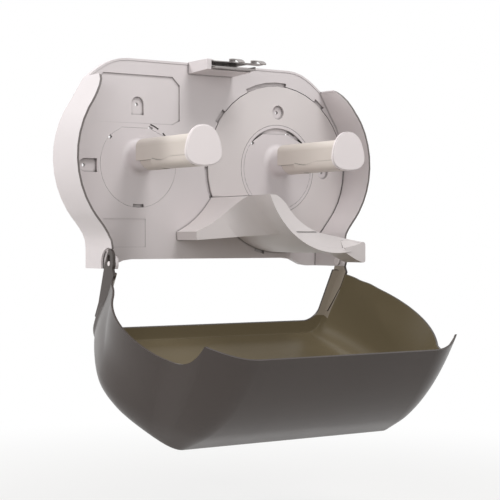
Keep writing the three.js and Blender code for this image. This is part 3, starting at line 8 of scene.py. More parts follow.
import bmesh
import bpy
from mathutils import Matrix, Vector

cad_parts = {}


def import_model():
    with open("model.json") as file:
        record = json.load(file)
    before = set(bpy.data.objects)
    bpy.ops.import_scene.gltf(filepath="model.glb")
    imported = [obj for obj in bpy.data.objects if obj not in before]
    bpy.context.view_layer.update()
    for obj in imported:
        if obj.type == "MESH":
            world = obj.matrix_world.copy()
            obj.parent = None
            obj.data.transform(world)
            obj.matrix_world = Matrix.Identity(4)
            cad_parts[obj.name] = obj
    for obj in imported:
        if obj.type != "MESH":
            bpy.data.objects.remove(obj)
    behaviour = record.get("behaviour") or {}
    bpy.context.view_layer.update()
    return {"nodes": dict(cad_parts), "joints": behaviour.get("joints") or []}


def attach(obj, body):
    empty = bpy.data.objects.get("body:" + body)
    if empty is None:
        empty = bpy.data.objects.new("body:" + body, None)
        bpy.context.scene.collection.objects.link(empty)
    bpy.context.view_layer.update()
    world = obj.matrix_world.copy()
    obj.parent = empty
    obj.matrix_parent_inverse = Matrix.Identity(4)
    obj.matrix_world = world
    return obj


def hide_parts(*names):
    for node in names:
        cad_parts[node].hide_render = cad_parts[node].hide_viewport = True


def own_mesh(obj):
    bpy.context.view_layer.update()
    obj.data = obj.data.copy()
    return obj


bl_info = {
    "name": "Twin Roll Dispenser",
    "version": (1, 0, 0),
    "blender": (4, 5, 0),
    "location": "3D View > Sidebar > Dispenser",
    "description": "Builds and finishes the pieces of a twin roll paper dispenser",
    "category": "Object",
}

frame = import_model()

MM = 0.001
JOINTS = {joint["name"]: joint for joint in frame["joints"]}
HINGE_AT = JOINTS["cover_hinge"]["pos_m"]
SIDES = {"left": -1, "right": 1}


# Finishes: the second tone that each drifts to, its roughness, and the glow of the smoke ones

FINISHES = {
    "housing": ("#d0c9c9", 0.5),
    # painted shade for the flanges' front edges
    "flange_shade": ("#66605e", 0.6),
    "arm": ("#cdc4bb", 0.42),
    "cap": ("#e4dcdc", 0.45),
    "shutter": ("#d2cbca", 0.45),
    "steel": ("#8d8887", 0.36),
    "smoke_outside": ("#4c4542", 0.3, 0),
    "smoke_inside": ("#5a513f", 0.34, 0.5),
    # paler, glowing copy of the smoke: painted light on the strips and on the eyes' inner faces
    "smoke_lit": ("#80776b", 0.36, 0.45),
}
# dark line of painted shade on the flanges' front edges, paler painted-light tone of the cover's
# strips, and the painted shade in hollows
FLANGE_SHADE_COLOUR, SMOKE_LIT_COLOUR, PAINTED_SHADE_COLOUR = "#6f6967", "#7a7166", "#4a4542"

# Sizes of what the finishes show, among them how far the painted shade in hollows reaches, and how
# far their roughness wanders

ABS_DRIFT, ABS_PATCH, ABS_GRAIN, ABS_GRAIN_DEPTH, SHADE_REACH = 90, 14, 0.9, 0.08, 5
SMOKE_FLOW, SMOKE_HAZE, SMOKE_RIPPLE, SMOKE_RIPPLE_DEPTH = 120, 30, 45, 0.3
STREAK_LENGTH, STREAK_WIDTH, STREAK_DEPTH = 14, 0.8, 0.05
ABS_GLOSS, SMOKE_GLOSS, STEEL_GLOSS = (-0.05, 0.05), (-0.03, 0.04), (-0.08, 0.12)

# Rounded edges: width, segments, and the angle in degrees from which an edge is rounded

EDGES = {
    "housing": (0.5, 2, 40),
    "lock": (0.5, 2, 35),
    "arm": (1.0, 3, 35),
    "pin": (0.3, 2, 35),
    "shutter": (1.4, 4, 35),
    "steel": (0.2, 2, 35),
    "spring": (0.1, 2, 35),
    "screw": (0.25, 2, 35),
}
SMOOTH_ANGLE = 35
FLAT_FACE_WEIGHT = 90

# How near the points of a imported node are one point, and within what angle its faces are one

WELD, FLAT_ANGLE = 0.002, 0.6


# Colours and materials

def linear(hex_colour):
    """sRGB hex to the linear colour that a shader socket takes."""
    channels = []
    for i in (1, 3, 5):
        value = int(hex_colour[i:i + 2], 16) / 255
        channels.append(value / 12.92 if value <= 0.04045 else ((value + 0.055) / 1.055) ** 2.4)
    return (*channels, 1.0)


def add(tree, kind, values=None, links=None, **settings):
    """Adds a node, sets its properties and input values, and links its inputs."""
    node = tree.nodes.new(kind)
    for name, value in settings.items():
        setattr(node, name, value)
    for key, value in (values or {}).items():
        node.inputs[key].default_value = value
    for key, socket in (links or {}).items():
        tree.links.new(socket, node.inputs[key])
    return node


def new_material(name):
    material = bpy.data.materials.new(name)
    material.use_nodes = True
    material.node_tree.nodes.clear()
    return material, material.node_tree


def moulded_abs(name, colour, shade, roughness):
    """Injection moulded ABS: satin, with fine spark-eroded grain, a faint drift of tone and painted
    shade in its hollows.
    """
    material, tree = new_material(name)
    place = add(tree, "ShaderNodeTexCoord")
    drift = add(tree, "ShaderNodeTexNoise", {"Scale": 1 / (ABS_DRIFT * MM), "Detail": 2.0},
                {"Vector": place.outputs["Object"]})
    tone = add(tree, "ShaderNodeMix", {"A": linear(colour), "B": linear(shade)},
               {"Factor": drift.outputs["Fac"]}, data_type="RGBA")
    # painted shade: darker in the seams and in the corners of ribs and steps, where shade falls
    hollow = add(tree, "ShaderNodeAmbientOcclusion", {"Distance": SHADE_REACH * MM}, samples=8)
    seam = add(tree, "ShaderNodeMapRange",
               {"From Min": 0.3, "From Max": 0.8, "To Min": 0.95, "To Max": 0.0},
               {"Value": hollow.outputs["AO"]})
    shaded_tone = add(tree, "ShaderNodeMix", {"B": linear(PAINTED_SHADE_COLOUR)},
                 {"Factor": seam.outputs["Result"], "A": tone.outputs["Result"]}, data_type="RGBA")
    patch = add(tree, "ShaderNodeTexNoise", {"Scale": 1 / (ABS_PATCH * MM), "Detail": 3.0},
                {"Vector": place.outputs["Object"]})
    gloss = add(tree, "ShaderNodeMapRange",
                {"To Min": roughness + ABS_GLOSS[0], "To Max": roughness + ABS_GLOSS[1]},
                {"Value": patch.outputs["Fac"]})
    # real grain is about 0.05 mm; it is drawn coarser so that it still shows from a step away
    grain = add(tree, "ShaderNodeTexNoise", {"Scale": 1 / (ABS_GRAIN * MM), "Detail": 2.0},
                {"Vector": place.outputs["Object"]})
    relief = add(tree, "ShaderNodeBump", {"Strength": 0.12, "Distance": ABS_GRAIN_DEPTH * MM},
                 {"Height": grain.outputs["Fac"]})
    shader = add(tree, "ShaderNodeBsdfPrincipled", {"IOR": 1.53, "Specular IOR Level": 0.45},
                 {"Base Color": shaded_tone.outputs["Result"], "Roughness": gloss.outputs["Result"],
                  "Normal": relief.outputs["Normal"]})
    add(tree, "ShaderNodeOutputMaterial", links={"Surface": shader.outputs["BSDF"]})
    return material


def smoked_polycarbonate(name, colour, shade, roughness, glow):
    """Smoke tinted polycarbonate from a polished mould: dark and smooth, paler at a glance."""
    material, tree = new_material(name)
    place = add(tree, "ShaderNodeTexCoord")
    flow = add(tree, "ShaderNodeTexNoise", {"Scale": 1 / (SMOKE_FLOW * MM), "Detail": 2.0},
               {"Vector": place.outputs["Object"]})
    tone = add(tree, "ShaderNodeMix", {"A": linear(colour), "B": linear(shade)},
               {"Factor": flow.outputs["Fac"]}, data_type="RGBA")
    haze = add(tree, "ShaderNodeTexNoise", {"Scale": 1 / (SMOKE_HAZE * MM), "Detail": 3.0},
               {"Vector": place.outputs["Object"]})
    gloss = add(tree, "ShaderNodeMapRange",
                {"To Min": roughness + SMOKE_GLOSS[0], "To Max": roughness + SMOKE_GLOSS[1]},
                {"Value": haze.outputs["Fac"]})
    # slow unevenness of a large moulded wall, which bends reflections a little
    ripple = add(tree, "ShaderNodeTexNoise", {"Scale": 1 / (SMOKE_RIPPLE * MM), "Detail": 1.0},
                 {"Vector": place.outputs["Object"]})
    relief = add(tree, "ShaderNodeBump", {"Strength": 0.06, "Distance": SMOKE_RIPPLE_DEPTH * MM},
                 {"Height": ripple.outputs["Fac"]})
    # the glow stands for the room light that comes through the tinted wall
    shader = add(tree, "ShaderNodeBsdfPrincipled",
                 {"IOR": 1.5, "Specular IOR Level": 0.27, "Emission Strength": glow},
                 {"Base Color": tone.outputs["Result"], "Emission Color": tone.outputs["Result"],
                  "Roughness": gloss.outputs["Result"], "Normal": relief.outputs["Normal"]})
    add(tree, "ShaderNodeOutputMaterial", links={"Surface": shader.outputs["BSDF"]})
    return material


def zinc_plated_steel(name, colour, shade, roughness):
    """Rolled spring steel, zinc plated: a grey metal with fine streaks along the strip."""
    material, tree = new_material(name)
    place = add(tree, "ShaderNodeTexCoord")
    # real streaks are about 0.2 mm wide; they are drawn coarser so that they still show
    along, across = 1 / (STREAK_LENGTH * MM), 1 / (STREAK_WIDTH * MM)
    strip = add(tree, "ShaderNodeMapping", {"Scale": (along, across, across)},
                {"Vector": place.outputs["Object"]})
    streak = add(tree, "ShaderNodeTexNoise", {"Scale": 1.0, "Detail": 4.0},
                 {"Vector": strip.outputs["Vector"]})
    tone = add(tree, "ShaderNodeMix", {"A": linear(colour), "B": linear(shade)},
               {"Factor": streak.outputs["Fac"]}, data_type="RGBA")
    gloss = add(tree, "ShaderNodeMapRange",
                {"To Min": roughness + STEEL_GLOSS[0], "To Max": roughness + STEEL_GLOSS[1]},
                {"Value": streak.outputs["Fac"]})
    relief = add(tree, "ShaderNodeBump", {"Strength": 0.1, "Distance": STREAK_DEPTH * MM},
                 {"Height": streak.outputs["Fac"]})
    shader = add(tree, "ShaderNodeBsdfPrincipled", {"Metallic": 1.0},
                 {"Base Color": tone.outputs["Result"], "Roughness": gloss.outputs["Result"],
                  "Normal": relief.outputs["Normal"]})
    add(tree, "ShaderNodeOutputMaterial", links={"Surface": shader.outputs["BSDF"]})
    return material


# Mesh helpers

def object_from(bm, name, smooth_angle=SMOOTH_ANGLE):
    """A new object at the origin from a bmesh, smooth shaded between its sharp edges."""
    mesh = bpy.data.meshes.new(name)
    bm.to_mesh(mesh)
    bm.free()
    for face in mesh.polygons:
        face.use_smooth = True
    mesh.set_sharp_from_angle(angle=math.radians(smooth_angle))
    piece = bpy.data.objects.new(name, mesh)
    bpy.context.scene.collection.objects.link(piece)
    return piece


def merged_copy(node):
    """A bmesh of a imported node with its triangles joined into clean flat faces."""
    bm = bmesh.new()
    bm.from_mesh(frame["nodes"][node].data)
    bmesh.ops.remove_doubles(bm, verts=bm.verts, dist=WELD * MM)
    bmesh.ops.dissolve_limit(bm, angle_limit=math.radians(FLAT_ANGLE),
                             use_dissolve_boundaries=False, verts=bm.verts, edges=bm.edges)
    return bm


def round_edges(piece, width, segments, angle):
    """Rounds the edges that are sharper than the angle, by a width in millimetres."""
    bevel = piece.modifiers.new("rounded_edges", "BEVEL")
    bevel.limit_method = "ANGLE"
    bevel.angle_limit = math.radians(angle)
    bevel.width = width * MM
    bevel.segments = segments
    bevel.profile = 0.5
    bevel.use_clamp_overlap = True
    even_shading(piece)


def even_shading(piece):
    """Takes the shading of flat faces from the faces themselves, not from their long triangles."""
    evened = piece.modifiers.new("flat_face_shading", "WEIGHTED_NORMAL")
    evened.weight = FLAT_FACE_WEIGHT
    evened.keep_sharp = True


def place_piece(piece, body, slot, material, *replaced):
    piece.data.materials.clear()
    piece.data.materials.append(material)
    settle_piece(piece, body, slot, *replaced)


def settle_piece(piece, body, slot, *replaced):
    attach(piece, body)
    if replaced:
        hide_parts(*replaced)


def finished(node, body, slot, material, width, segments, angle):
    """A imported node's own shape with rounded moulded edges."""
    piece = object_from(merged_copy(node), f"{node}_finished", angle)
    round_edges(piece, width, segments, angle)
    place_piece(piece, body, slot, material, node)
    return piece


def applied(piece):
    """Replaces a piece's mesh by what its modifiers make of it."""
    graph = bpy.context.evaluated_depsgraph_get()
    made = bpy.data.meshes.new_from_object(piece.evaluated_get(graph))
    piece.modifiers.clear()
    old = piece.data
    piece.data = made
    bpy.data.meshes.remove(old)


def cut(piece, tool):
    """Cuts a tool object out of a piece and removes the tool."""
    step = piece.modifiers.new("step", "BOOLEAN")
    step.operation = "DIFFERENCE"
    step.solver = "EXACT"
    step.object = tool
    bpy.context.view_layer.update()
    applied(piece)
    mesh = tool.data
    bpy.data.objects.remove(tool)
    bpy.data.meshes.remove(mesh)


def prism(name, outline, low, high, holes=()):
    """A side-view outline in y and z, extruded along x, with holes through it."""
    bm = bmesh.new()
    edges = []
    for loop in (outline, *holes):
        verts = [bm.verts.new((low * MM, y * MM, z * MM)) for y, z in loop]
        edges += [bm.edges.new((verts[i - 1], verts[i])) for i in range(len(verts))]
    filled = bmesh.ops.triangle_fill(bm, use_beauty=True, use_dissolve=True, edges=edges)
    faces = [g for g in filled["geom"] if isinstance(g, bmesh.types.BMFace)]
    grown = bmesh.ops.extrude_face_region(bm, geom=faces)
    moved = [g for g in grown["geom"] if isinstance(g, bmesh.types.BMVert)]
    bmesh.ops.translate(bm, vec=((high - low) * MM, 0, 0), verts=moved)
    bmesh.ops.recalc_face_normals(bm, faces=bm.faces)
    return object_from(bm, name)


def arc(centre, radius, start, end, steps):
    """Points on an arc, angles in degrees."""
    points = []
    for i in range(steps + 1):
        angle = math.radians(start + (end - start) * i / steps)
        points.append((centre[0] + radius * math.cos(angle), centre[1] + radius * math.sin(angle)))
    return points


def cubic(a, b, c, d, steps):
    """Points on a cubic curve, without its first."""
    points = []
    for i in range(1, steps + 1):
        t = i / steps
        u = 1 - t
        weights = (u * u * u, 3 * u * u * t, 3 * u * t * t, t * t * t)
        corners = (a, b, c, d)
        points.append(tuple(sum(w * p[k] for w, p in zip(weights, corners)) for k in (0, 1)))
    return points


def mix(a, b, t):
    return a + (b - a) * t


def eased(value, low, high):
    t = min(max((value - low) / (high - low), 0), 1)
    return t * t * (3 - 2 * t)


# Sizes of the cover, in its closed position; angles are in degrees

HINGE_Y = HINGE_AT[1] / MM
HINGE_Z = HINGE_AT[2] / MM
OPEN_ANGLE = 120
COVER_BOTTOM_Z = -138
CORNER_RUN = 14

# Rim: foot, lobe with the angles where it starts and ends, ear, hood, and the pulls of its curves

FOOT_X = 199
FOOT_TOP_Z = -118
RIM_PULL, RIM_LOBE_PULL = (12, 9), 22
LOBE_X, LOBE_Z, LOBE_R = 117, 6, 132
LOBE_LOW, LOBE_HIGH = -33, 37
EAR = (203, 126)
HOOD = (140, 160)
CROWN_PULLS = (0.27, 0.48, 0.42)

# Fuller outline that the wall swells to between two shares of its depth

FULL_FOOT = (201.1, -126)
FULL_PULL = (14, 20)
FULL_MEET, FULL_LOBE_PULL = -11, 28
FULL_FROM, FULL_TO = 0.47, 0.95

# Side wall in depth, its lean low and high, and the height from which the lean grows

COVER_START_Y, COVER_ROUND_Y = -20, -160
SIDE_DRAFT, TOP_DRAFT, TOP_POWER = 0.065, 0.476, 2.55
DRAFT_LOW_Z = -70

# Outline of the flat front, with its shares and pulls

FRONT_TOP_Y, FRONT_BOTTOM_Y = -205, -192
FRONT_TOP_Z, FRONT_CORNER_Z, FRONT_LIFT = 97.6, 27.8, 4
FRONT_HALF_TOP, FRONT_HALF_BOTTOM, FRONT_LEVEL = 200.2, 177.8, 0.826
FRONT_LOW_PULL, FRONT_CORNER_PULL, FRONT_CROWN_PULLS = 0.35, 0.35, (0.55, 0.45)

# Side view of the rim as (y, z), from the ear's tip to the foot, its gap to the flange, and how
# far in front of the pin the cut ends

SEAM_TIP_Y = -24
SEAM_EAR_END = (-72, 62)
SEAM_EAR_PULLS = (0.75, 0.12, 0.68)
SEAM_FOOT = ((-72, -80), (-72, -90), (-76, -95), (-75.5, -105))
SEAM_END = (-76.5, -119)
SEAM_GAP = 1.2
EYE_ROOM = 13.5

# Tools that cut the cover: how far they stand past it, and the paper opening

TOOL_SPARE, TOOL_HALF, TOOL_BACK_Y = 2, 253, -26
OPENING_HALF, OPENING_FRONT_Y, OPENING_CORNER, OPENING_TALL = 184, -170, 22, 16

# Eye plate: its round end, slot, the slot's run and lean, the arm's side view as (y, z), and
# the curve in front of the pin, with y from the pin

EYE_RADIUS, EYE_SLOT, EYE_RUN, EYE_LEAN = 12, 3.9, 8.5, -30
EYE_LOW_Z, EYE_WALL = -149, 4.4
EYE_ARM_BELOW = [(-150, COVER_BOTTOM_Z + 0.2), (-128, COVER_BOTTOM_Z)]
EYE_ARM_ABOVE = [(-98, -119), (-125, -124), (-150, -129)]
EYE_HEEL_PULL, EYE_HEEL_TURN, EYE_HEEL_END = -3, (-5, -122), (-7.5, -119)

# Where the paler strip of the open cover's bottom wall lies, which takes the painted light

STRIP_X, STRIP_Y, STRIP_TOP_Z = 182, -160, -122

# Points in each part of the cover's outlines, rings along its wall and its front edge, points
# of the curves in its tools and eyes, its rounding, and what counts as facing inwards

COUNTS = {"bottom": 8, "corner": 8, "waist": 14, "shoulder": 4, "crown": 16, "top": 8}
WALL_ROWS, ROUND_ROWS = 18, 14
SEAM_EAR_STEPS, SEAM_FOOT_STEPS, OPENING_STEPS = 24, 8, 12
EYE_END_STEPS, EYE_TOP_STEPS, EYE_SLOT_STEPS = 14, 6, 12
RIM_SEGMENTS, RIM_ANGLE = 2, 50
INWARD = -0.5

# Corners of the leaning web at the saddle's tip, and how far its back lies behind and below

TIP_WEB = [(131.5, -150.4, -107.8), (146, -152.2, -108.4), (161.5, -157.2, -112.2),
           (161.5, -158.9, -113.4), (149.2, -159.1, -117), (131.5, -159.1, -122.2)]
TIP_WEB_WALL = (2.2, 1.2)

# Where the painted shade line runs on the flanges' front edges, and how far an edge may turn
# sideways

SHADE_LINE_X, SHADE_LINE_Y, SHADE_LINE_LOW_Z = FOOT_X - 3, -44, FOOT_TOP_Z - 1
SHADE_LINE_FACING = 0.35

# Stage, in metres: each lamp's place, target and width

LAMPS = {
    "left_light": ((-1.1, 0.5, 0.8), (-0.2, 0, 0), 0.5),
    "upper_light": ((0.1, -0.65, 1.05), (0, 0, 0), 0.5),
    "fill_light": ((-1.3, -1.0, 0.35), (0, 0, 0), 1.0),
}
FLOOR_RADIUS, FLOOR_SIDES, FLOOR_PAINT = 3.0, 96, "#dedcd9"
CAMERA_AT = (-1.1196, -1.7765, -0.105)
CAMERA_TILT, CAMERA_TURN = 89.544, -33.953
CAMERA_LENS, CAMERA_SENSOR = 103.0, 36.0


class CoverSizes(bpy.types.PropertyGroup):
    """Sizes of the smoke cover that a user would change"""
    wall: bpy.props.FloatProperty(
        name="Wall", description="Thickness of the moulded wall in millimetres",
        default=2.8, min=1.5, max=4)
    edge: bpy.props.FloatProperty(
        name="Rim rounding", description="Rounding of the rim in millimetres",
        default=0.8, min=0.1, max=1.3)
    columns: bpy.props.IntProperty(
        name="Lobe columns", description="Columns round each side lobe",
        default=22, min=10, max=40)


class FinishColours(bpy.types.PropertyGroup):
    """Colours of the plastics and metals"""
    housing: bpy.props.StringProperty(
        name="Housing", description="Housing colour as hex", default="#d7d0d1")
    shutter: bpy.props.StringProperty(
        name="Shutter", description="Shutter colour as hex", default="#d8d1d0")
    spindle: bpy.props.StringProperty(
        name="Spindle", description="Roll arm colour as hex", default="#d5ccc5")
    cap: bpy.props.StringProperty(
        name="Cap", description="End cap colour as hex", default="#e9e1e1")
    smoke_out: bpy.props.StringProperty(
        name="Smoke outside", description="Cover outside as hex", default="#453e3b")
    smoke_in: bpy.props.StringProperty(
        name="Smoke inside", description="Cover inside as hex", default="#564d3b")
    steel: bpy.props.StringProperty(
        name="Steel", description="Lock steel as hex", default="#b3aeac")


class StageSettings(bpy.types.PropertyGroup):
    """Floor and light levels"""
    floor_z: bpy.props.FloatProperty(
        name="Floor height", description="Height of the floor in metres",
        default=-0.52, subtype="DISTANCE", unit="LENGTH")
    sky: bpy.props.FloatProperty(
        name="Sky level", description="Even light from all round", default=0.56)
    side: bpy.props.FloatProperty(
        name="Side light", description="Power of the left light in watts", default=9.5)
    top: bpy.props.FloatProperty(
        name="Top light", description="Power of the upper front light in watts", default=7.5)
    fill: bpy.props.FloatProperty(
        name="Fill light", description="Power of the left front light in watts", default=5.4)


# Housing, hubs, arms and caps

class DISPENSER_OT_housing(bpy.types.Operator):
    """Finishes the back plate and its two hubs"""
    bl_idname = "dispenser.housing"
    bl_label = "Housing"

    def execute(self, context):
        colour = context.scene.finish_colours.housing
        material = moulded_abs("housing_moulded_abs", colour, *FINISHES["housing"])
        plate = finished("back_plate", "housing", "housing_plastic", material, *EDGES["housing"])
        # the flanges' front edges get a dark line of painted shade
        paint_flange_shade(plate, moulded_abs("flange_edge_painted_shade", FLANGE_SHADE_COLOUR, *FINISHES["flange_shade"]))
        for side in SIDES:
            finished(f"hub_{side}", "housing", "housing_plastic", material, *EDGES["housing"])
        return {"FINISHED"}


def paint_flange_shade(plate, flange_shade):
    """Paints shade on the front edges of the side flanges, where the cover seats: a dark line where
    these thin edges lie in shade.
    """
    plate.data.materials.append(flange_shade)
    for face in plate.data.polygons:
        x, y, z = face.center / MM
        at_front = abs(x) > SHADE_LINE_X and y < SHADE_LINE_Y and z > SHADE_LINE_LOW_Z
        if at_front and abs(face.normal.x) < SHADE_LINE_FACING:
            face.material_index = 1


class DISPENSER_OT_arms(bpy.types.Operator):
    """Finishes the roll arms, their upper shells, the end caps and the cover's hinge pins"""
    bl_idname = "dispenser.arms"
    bl_label = "Roll arms"

    def execute(self, context):
        colours = context.scene.finish_colours
        arm = moulded_abs("arm_moulded_abs", colours.spindle, *FINISHES["arm"])
        cap = moulded_abs("cap_moulded_abs", colours.cap, *FINISHES["cap"])
        for side in SIDES:
            for node in (f"roll_arm_{side}", f"roll_arm_shell_{side}"):
                finished(node, "housing", "spindle_plastic", arm, *EDGES["arm"])
            finished(f"end_cap_{side}", "housing", "cap_plastic", cap, *EDGES["arm"])
            finished(f"hinge_pin_{side}", "housing", "cap_plastic", cap, *EDGES["pin"])
        return {"FINISHED"}


class DISPENSER_OT_lock(bpy.types.Operator):
    """Finishes the lock and the screws"""
    bl_idname = "dispenser.lock"
    bl_label = "Lock and screws"

    def execute(self, context):
        colours = context.scene.finish_colours
        shell = moulded_abs("lock_moulded_abs", colours.housing, *FINISHES["housing"])
        steel = zinc_plated_steel("zinc_plated_spring_steel", colours.steel, *FINISHES["steel"])
        finished("lock_housing", "housing", "housing_plastic", shell, *EDGES["lock"])
        for node in ("lock_base", "latch_pin"):
            finished(node, "housing", "lock_steel", steel, *EDGES["steel"])
        spring = finished("latch_spring", "housing", "lock_steel", steel, *EDGES["spring"])
        press_spring(spring)
        finished("latch_plate", "latch", "lock_steel", steel, *EDGES["steel"])
        screws = [f"hub_screw_{side}_{i}" for side in SIDES for i in (1, 2, 3)]
        for node in screws + ["lock_screw_1", "lock_screw_2"]:
            finished(node, "housing", "screw_steel", steel, *EDGES["screw"])
        return {"FINISHED"}


def press_spring(spring):
    """Gives the spring its own copy of its mesh."""
    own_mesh(spring)


class DISPENSER_OT_shutter(bpy.types.Operator):
    """Finishes the transfer shutter"""
    bl_idname = "dispenser.shutter"
    bl_label = "Transfer shutter"

    def execute(self, context):
        colour = context.scene.finish_colours.shutter
        material = moulded_abs("shutter_moulded_abs", colour, *FINISHES["shutter"])
        finished("transfer_shutter", "shutter", "shutter_plastic", material, *EDGES["shutter"])
        place_piece(tip_web(), "shutter", "shutter_plastic", material)
        return {"FINISHED"}


def tip_web():
    """Thin leaning web that closes the saddle's front lip against its end plate."""
    bm = bmesh.new()
    for x, y, z in TIP_WEB:
        for back, down in ((0, 0), TIP_WEB_WALL):
            bm.verts.new((x * MM, (y + back) * MM, (z - down) * MM))
    bmesh.ops.convex_hull(bm, input=bm.verts)
    bmesh.ops.recalc_face_normals(bm, faces=bm.faces)
    return object_from(bm, "shutter_tip_web")


# Smoke cover

def on_lobe(degrees):
    """Point on the right side lobe."""
    angle = math.radians(degrees)
    return (LOBE_X + LOBE_R * math.cos(angle), LOBE_Z + LOBE_R * math.sin(angle))


def between(a, b, steps):
    return [(mix(a[0], b[0], i / steps), mix(a[1], b[1], i / steps)) for i in range(1, steps + 1)]


def side_outline(start, foot, foot_pull, meet_angle, lobe_pull, columns):
    """Half outline from the bottom middle round the foot, waist, lobe and crown to the top."""
    half = [(0, start[1])]
    half += between(half[0], start, COUNTS["bottom"])
    half += cubic(start, (foot[0], start[1]), (foot[0], start[1]), foot, COUNTS["corner"])
    meet = on_lobe(meet_angle)
    lean = math.radians(meet_angle)
    towards = (meet[0] + math.sin(lean) * lobe_pull, meet[1] - math.cos(lean) * lobe_pull)
    leaving = (foot[0] + foot_pull[0], foot[1] + foot_pull[1])
    half += cubic(foot, leaving, towards, meet, COUNTS["waist"])
    for i in range(1, columns + 1):
        half.append(on_lobe(mix(meet_angle, LOBE_HIGH, i / columns)))
    half += between(half[-1], EAR, COUNTS["shoulder"])
    wide, rise = EAR[0] - HOOD[0], HOOD[1] - EAR[1]
    half += cubic(EAR, (EAR[0] - wide * CROWN_PULLS[0], EAR[1] + rise * CROWN_PULLS[1]),
                  (HOOD[0] + wide * CROWN_PULLS[2], HOOD[1]), HOOD, COUNTS["crown"])
    half += between(HOOD, (0, HOOD[1]), COUNTS["top"])
    return half


def cover_rim(columns):
    """Half outline at the rim, which the housing's flanges share."""
    return side_outline((FOOT_X - CORNER_RUN, COVER_BOTTOM_Z), (FOOT_X, FOOT_TOP_Z), RIM_PULL,
                        LOBE_LOW, RIM_LOBE_PULL, columns)


def front_outline(columns):
    """Half outline that the flat front comes in to."""
    low = COVER_BOTTOM_Z + FRONT_LIFT
    start = (FRONT_HALF_BOTTOM - CORNER_RUN, low)
    foot = (FRONT_HALF_BOTTOM, low + CORNER_RUN)
    widest = (FRONT_HALF_TOP, FRONT_CORNER_Z)
    level = (FRONT_HALF_TOP * FRONT_LEVEL, FRONT_TOP_Z)
    rise = widest[1] - foot[1]
    half = [(0, low)]
    half += between(half[0], start, COUNTS["bottom"])
    half += cubic(start, (foot[0], start[1]), (foot[0], start[1]), foot, COUNTS["corner"])
    half += cubic(foot, (mix(foot[0], widest[0], FRONT_LOW_PULL), foot[1] + rise * FRONT_LOW_PULL),
                  (widest[0], widest[1] - rise * FRONT_CORNER_PULL), widest, columns)
    half += cubic(widest, (widest[0], mix(widest[1], level[1], FRONT_CROWN_PULLS[0])),
                  (mix(level[0], widest[0], FRONT_CROWN_PULLS[1]), level[1]), level,
                  COUNTS["waist"] + COUNTS["shoulder"] + COUNTS["crown"])
    half += between(level, (0, level[1]), COUNTS["top"])
    return half


def whole(half):
    """Closes a half outline with its mirror image."""
    return half + [(-x, z) for x, z in reversed(half[1:-1])]


def inset(outline, distance):
    """The outline moved inwards along its normals."""
    moved = []
    for i, point in enumerate(outline):
        before, after = outline[i - 1], outline[(i + 1) % len(outline)]
        along = Vector((after[0] - before[0], after[1] - before[1])).normalized()
        moved.append((point[0] - along.y * distance, point[1] + along.x * distance))
    return moved


def draft_at(z, depth):
    """How far in towards the front outline the wall has leaned, and how fast it leans there."""
    height = eased(z, DRAFT_LOW_Z, HOOD[1])
    return (mix(SIDE_DRAFT * depth, TOP_DRAFT * depth ** TOP_POWER, height),
            mix(SIDE_DRAFT, TOP_DRAFT * TOP_POWER, height))


def front_y(z):
    """Where the flat front stands at a height; it leans forward towards the top."""
    share = min(max((z - COVER_BOTTOM_Z) / (FRONT_TOP_Z - COVER_BOTTOM_Z), 0), 1)
    return mix(FRONT_BOTTOM_Y, FRONT_TOP_Y, share)


def cover_ring(rim, full, front, wall, depth, turn):
    """One ring of the skin: depth runs along the side wall, turn round the front edge."""
    ring = []
    bulge = eased(depth, FULL_FROM, FULL_TO)
    out, level = math.sin(math.pi / 2 * turn), math.cos(math.pi / 2 * turn)
    onward = (FRONT_TOP_Y - COVER_ROUND_Y) / (COVER_ROUND_Y - COVER_START_Y) * out
    for r, f, n in zip(rim, full, front):
        base = (mix(r[0], f[0], bulge), mix(r[1], f[1], bulge))
        lean, pace = draft_at(r[1], depth)
        reach = (1 - lean - pace * onward) * level
        x, z = mix(n[0], base[0], reach), mix(n[1], base[1], reach)
        wall_y = mix(COVER_START_Y, COVER_ROUND_Y, depth)
        ring.append((x, mix(wall_y, front_y(z) + wall, out), z))
    return ring


def cover_skin(name, wall, columns):
    """Closed solid inside one skin of the cover, lofted through its rings."""
    rim = cover_rim(columns)
    full = side_outline((FULL_FOOT[0] - CORNER_RUN, COVER_BOTTOM_Z), FULL_FOOT, FULL_PULL,
                        FULL_MEET, FULL_LOBE_PULL, columns)
    sections = [inset(whole(o), wall) for o in (rim, full, front_outline(columns))]
    steps = [(k / WALL_ROWS, 0) for k in range(WALL_ROWS + 1)]
    steps += [(1, k / ROUND_ROWS) for k in range(1, ROUND_ROWS + 1)]
    bm = bmesh.new()
    loops = []
    for depth, turn in steps:
        verts = [bm.verts.new(Vector(p) * MM) for p in cover_ring(*sections, wall, depth, turn)]
        loops.append([bm.edges.new((verts[i - 1], verts[i])) for i in range(len(verts))])
    for near, far in zip(loops, loops[1:]):
        bmesh.ops.bridge_loops(bm, edges=near + far)
    for end in (loops[0], loops[-1]):
        bmesh.ops.edgeloop_fill(bm, edges=end)
    bmesh.ops.recalc_face_normals(bm, faces=bm.faces)
    return object_from(bm, name)


def seam_line(offset):
    """Side view of the cover's rim from the ear down to the foot."""
    tip, end = (SEAM_TIP_Y, EAR[1]), SEAM_EAR_END
    rise, depth = tip[1] - end[1], end[0] - tip[0]
    leaving = (tip[0] + depth * SEAM_EAR_PULLS[0], tip[1] - rise * SEAM_EAR_PULLS[1])
    towards = (end[0], end[1] + rise * SEAM_EAR_PULLS[2])
    line = [tip] + cubic(tip, leaving, towards, end, SEAM_EAR_STEPS)
    line += [SEAM_FOOT[0]] + cubic(*SEAM_FOOT, SEAM_FOOT_STEPS) + [SEAM_END]
    return [(y + offset, z) for y, z in line]


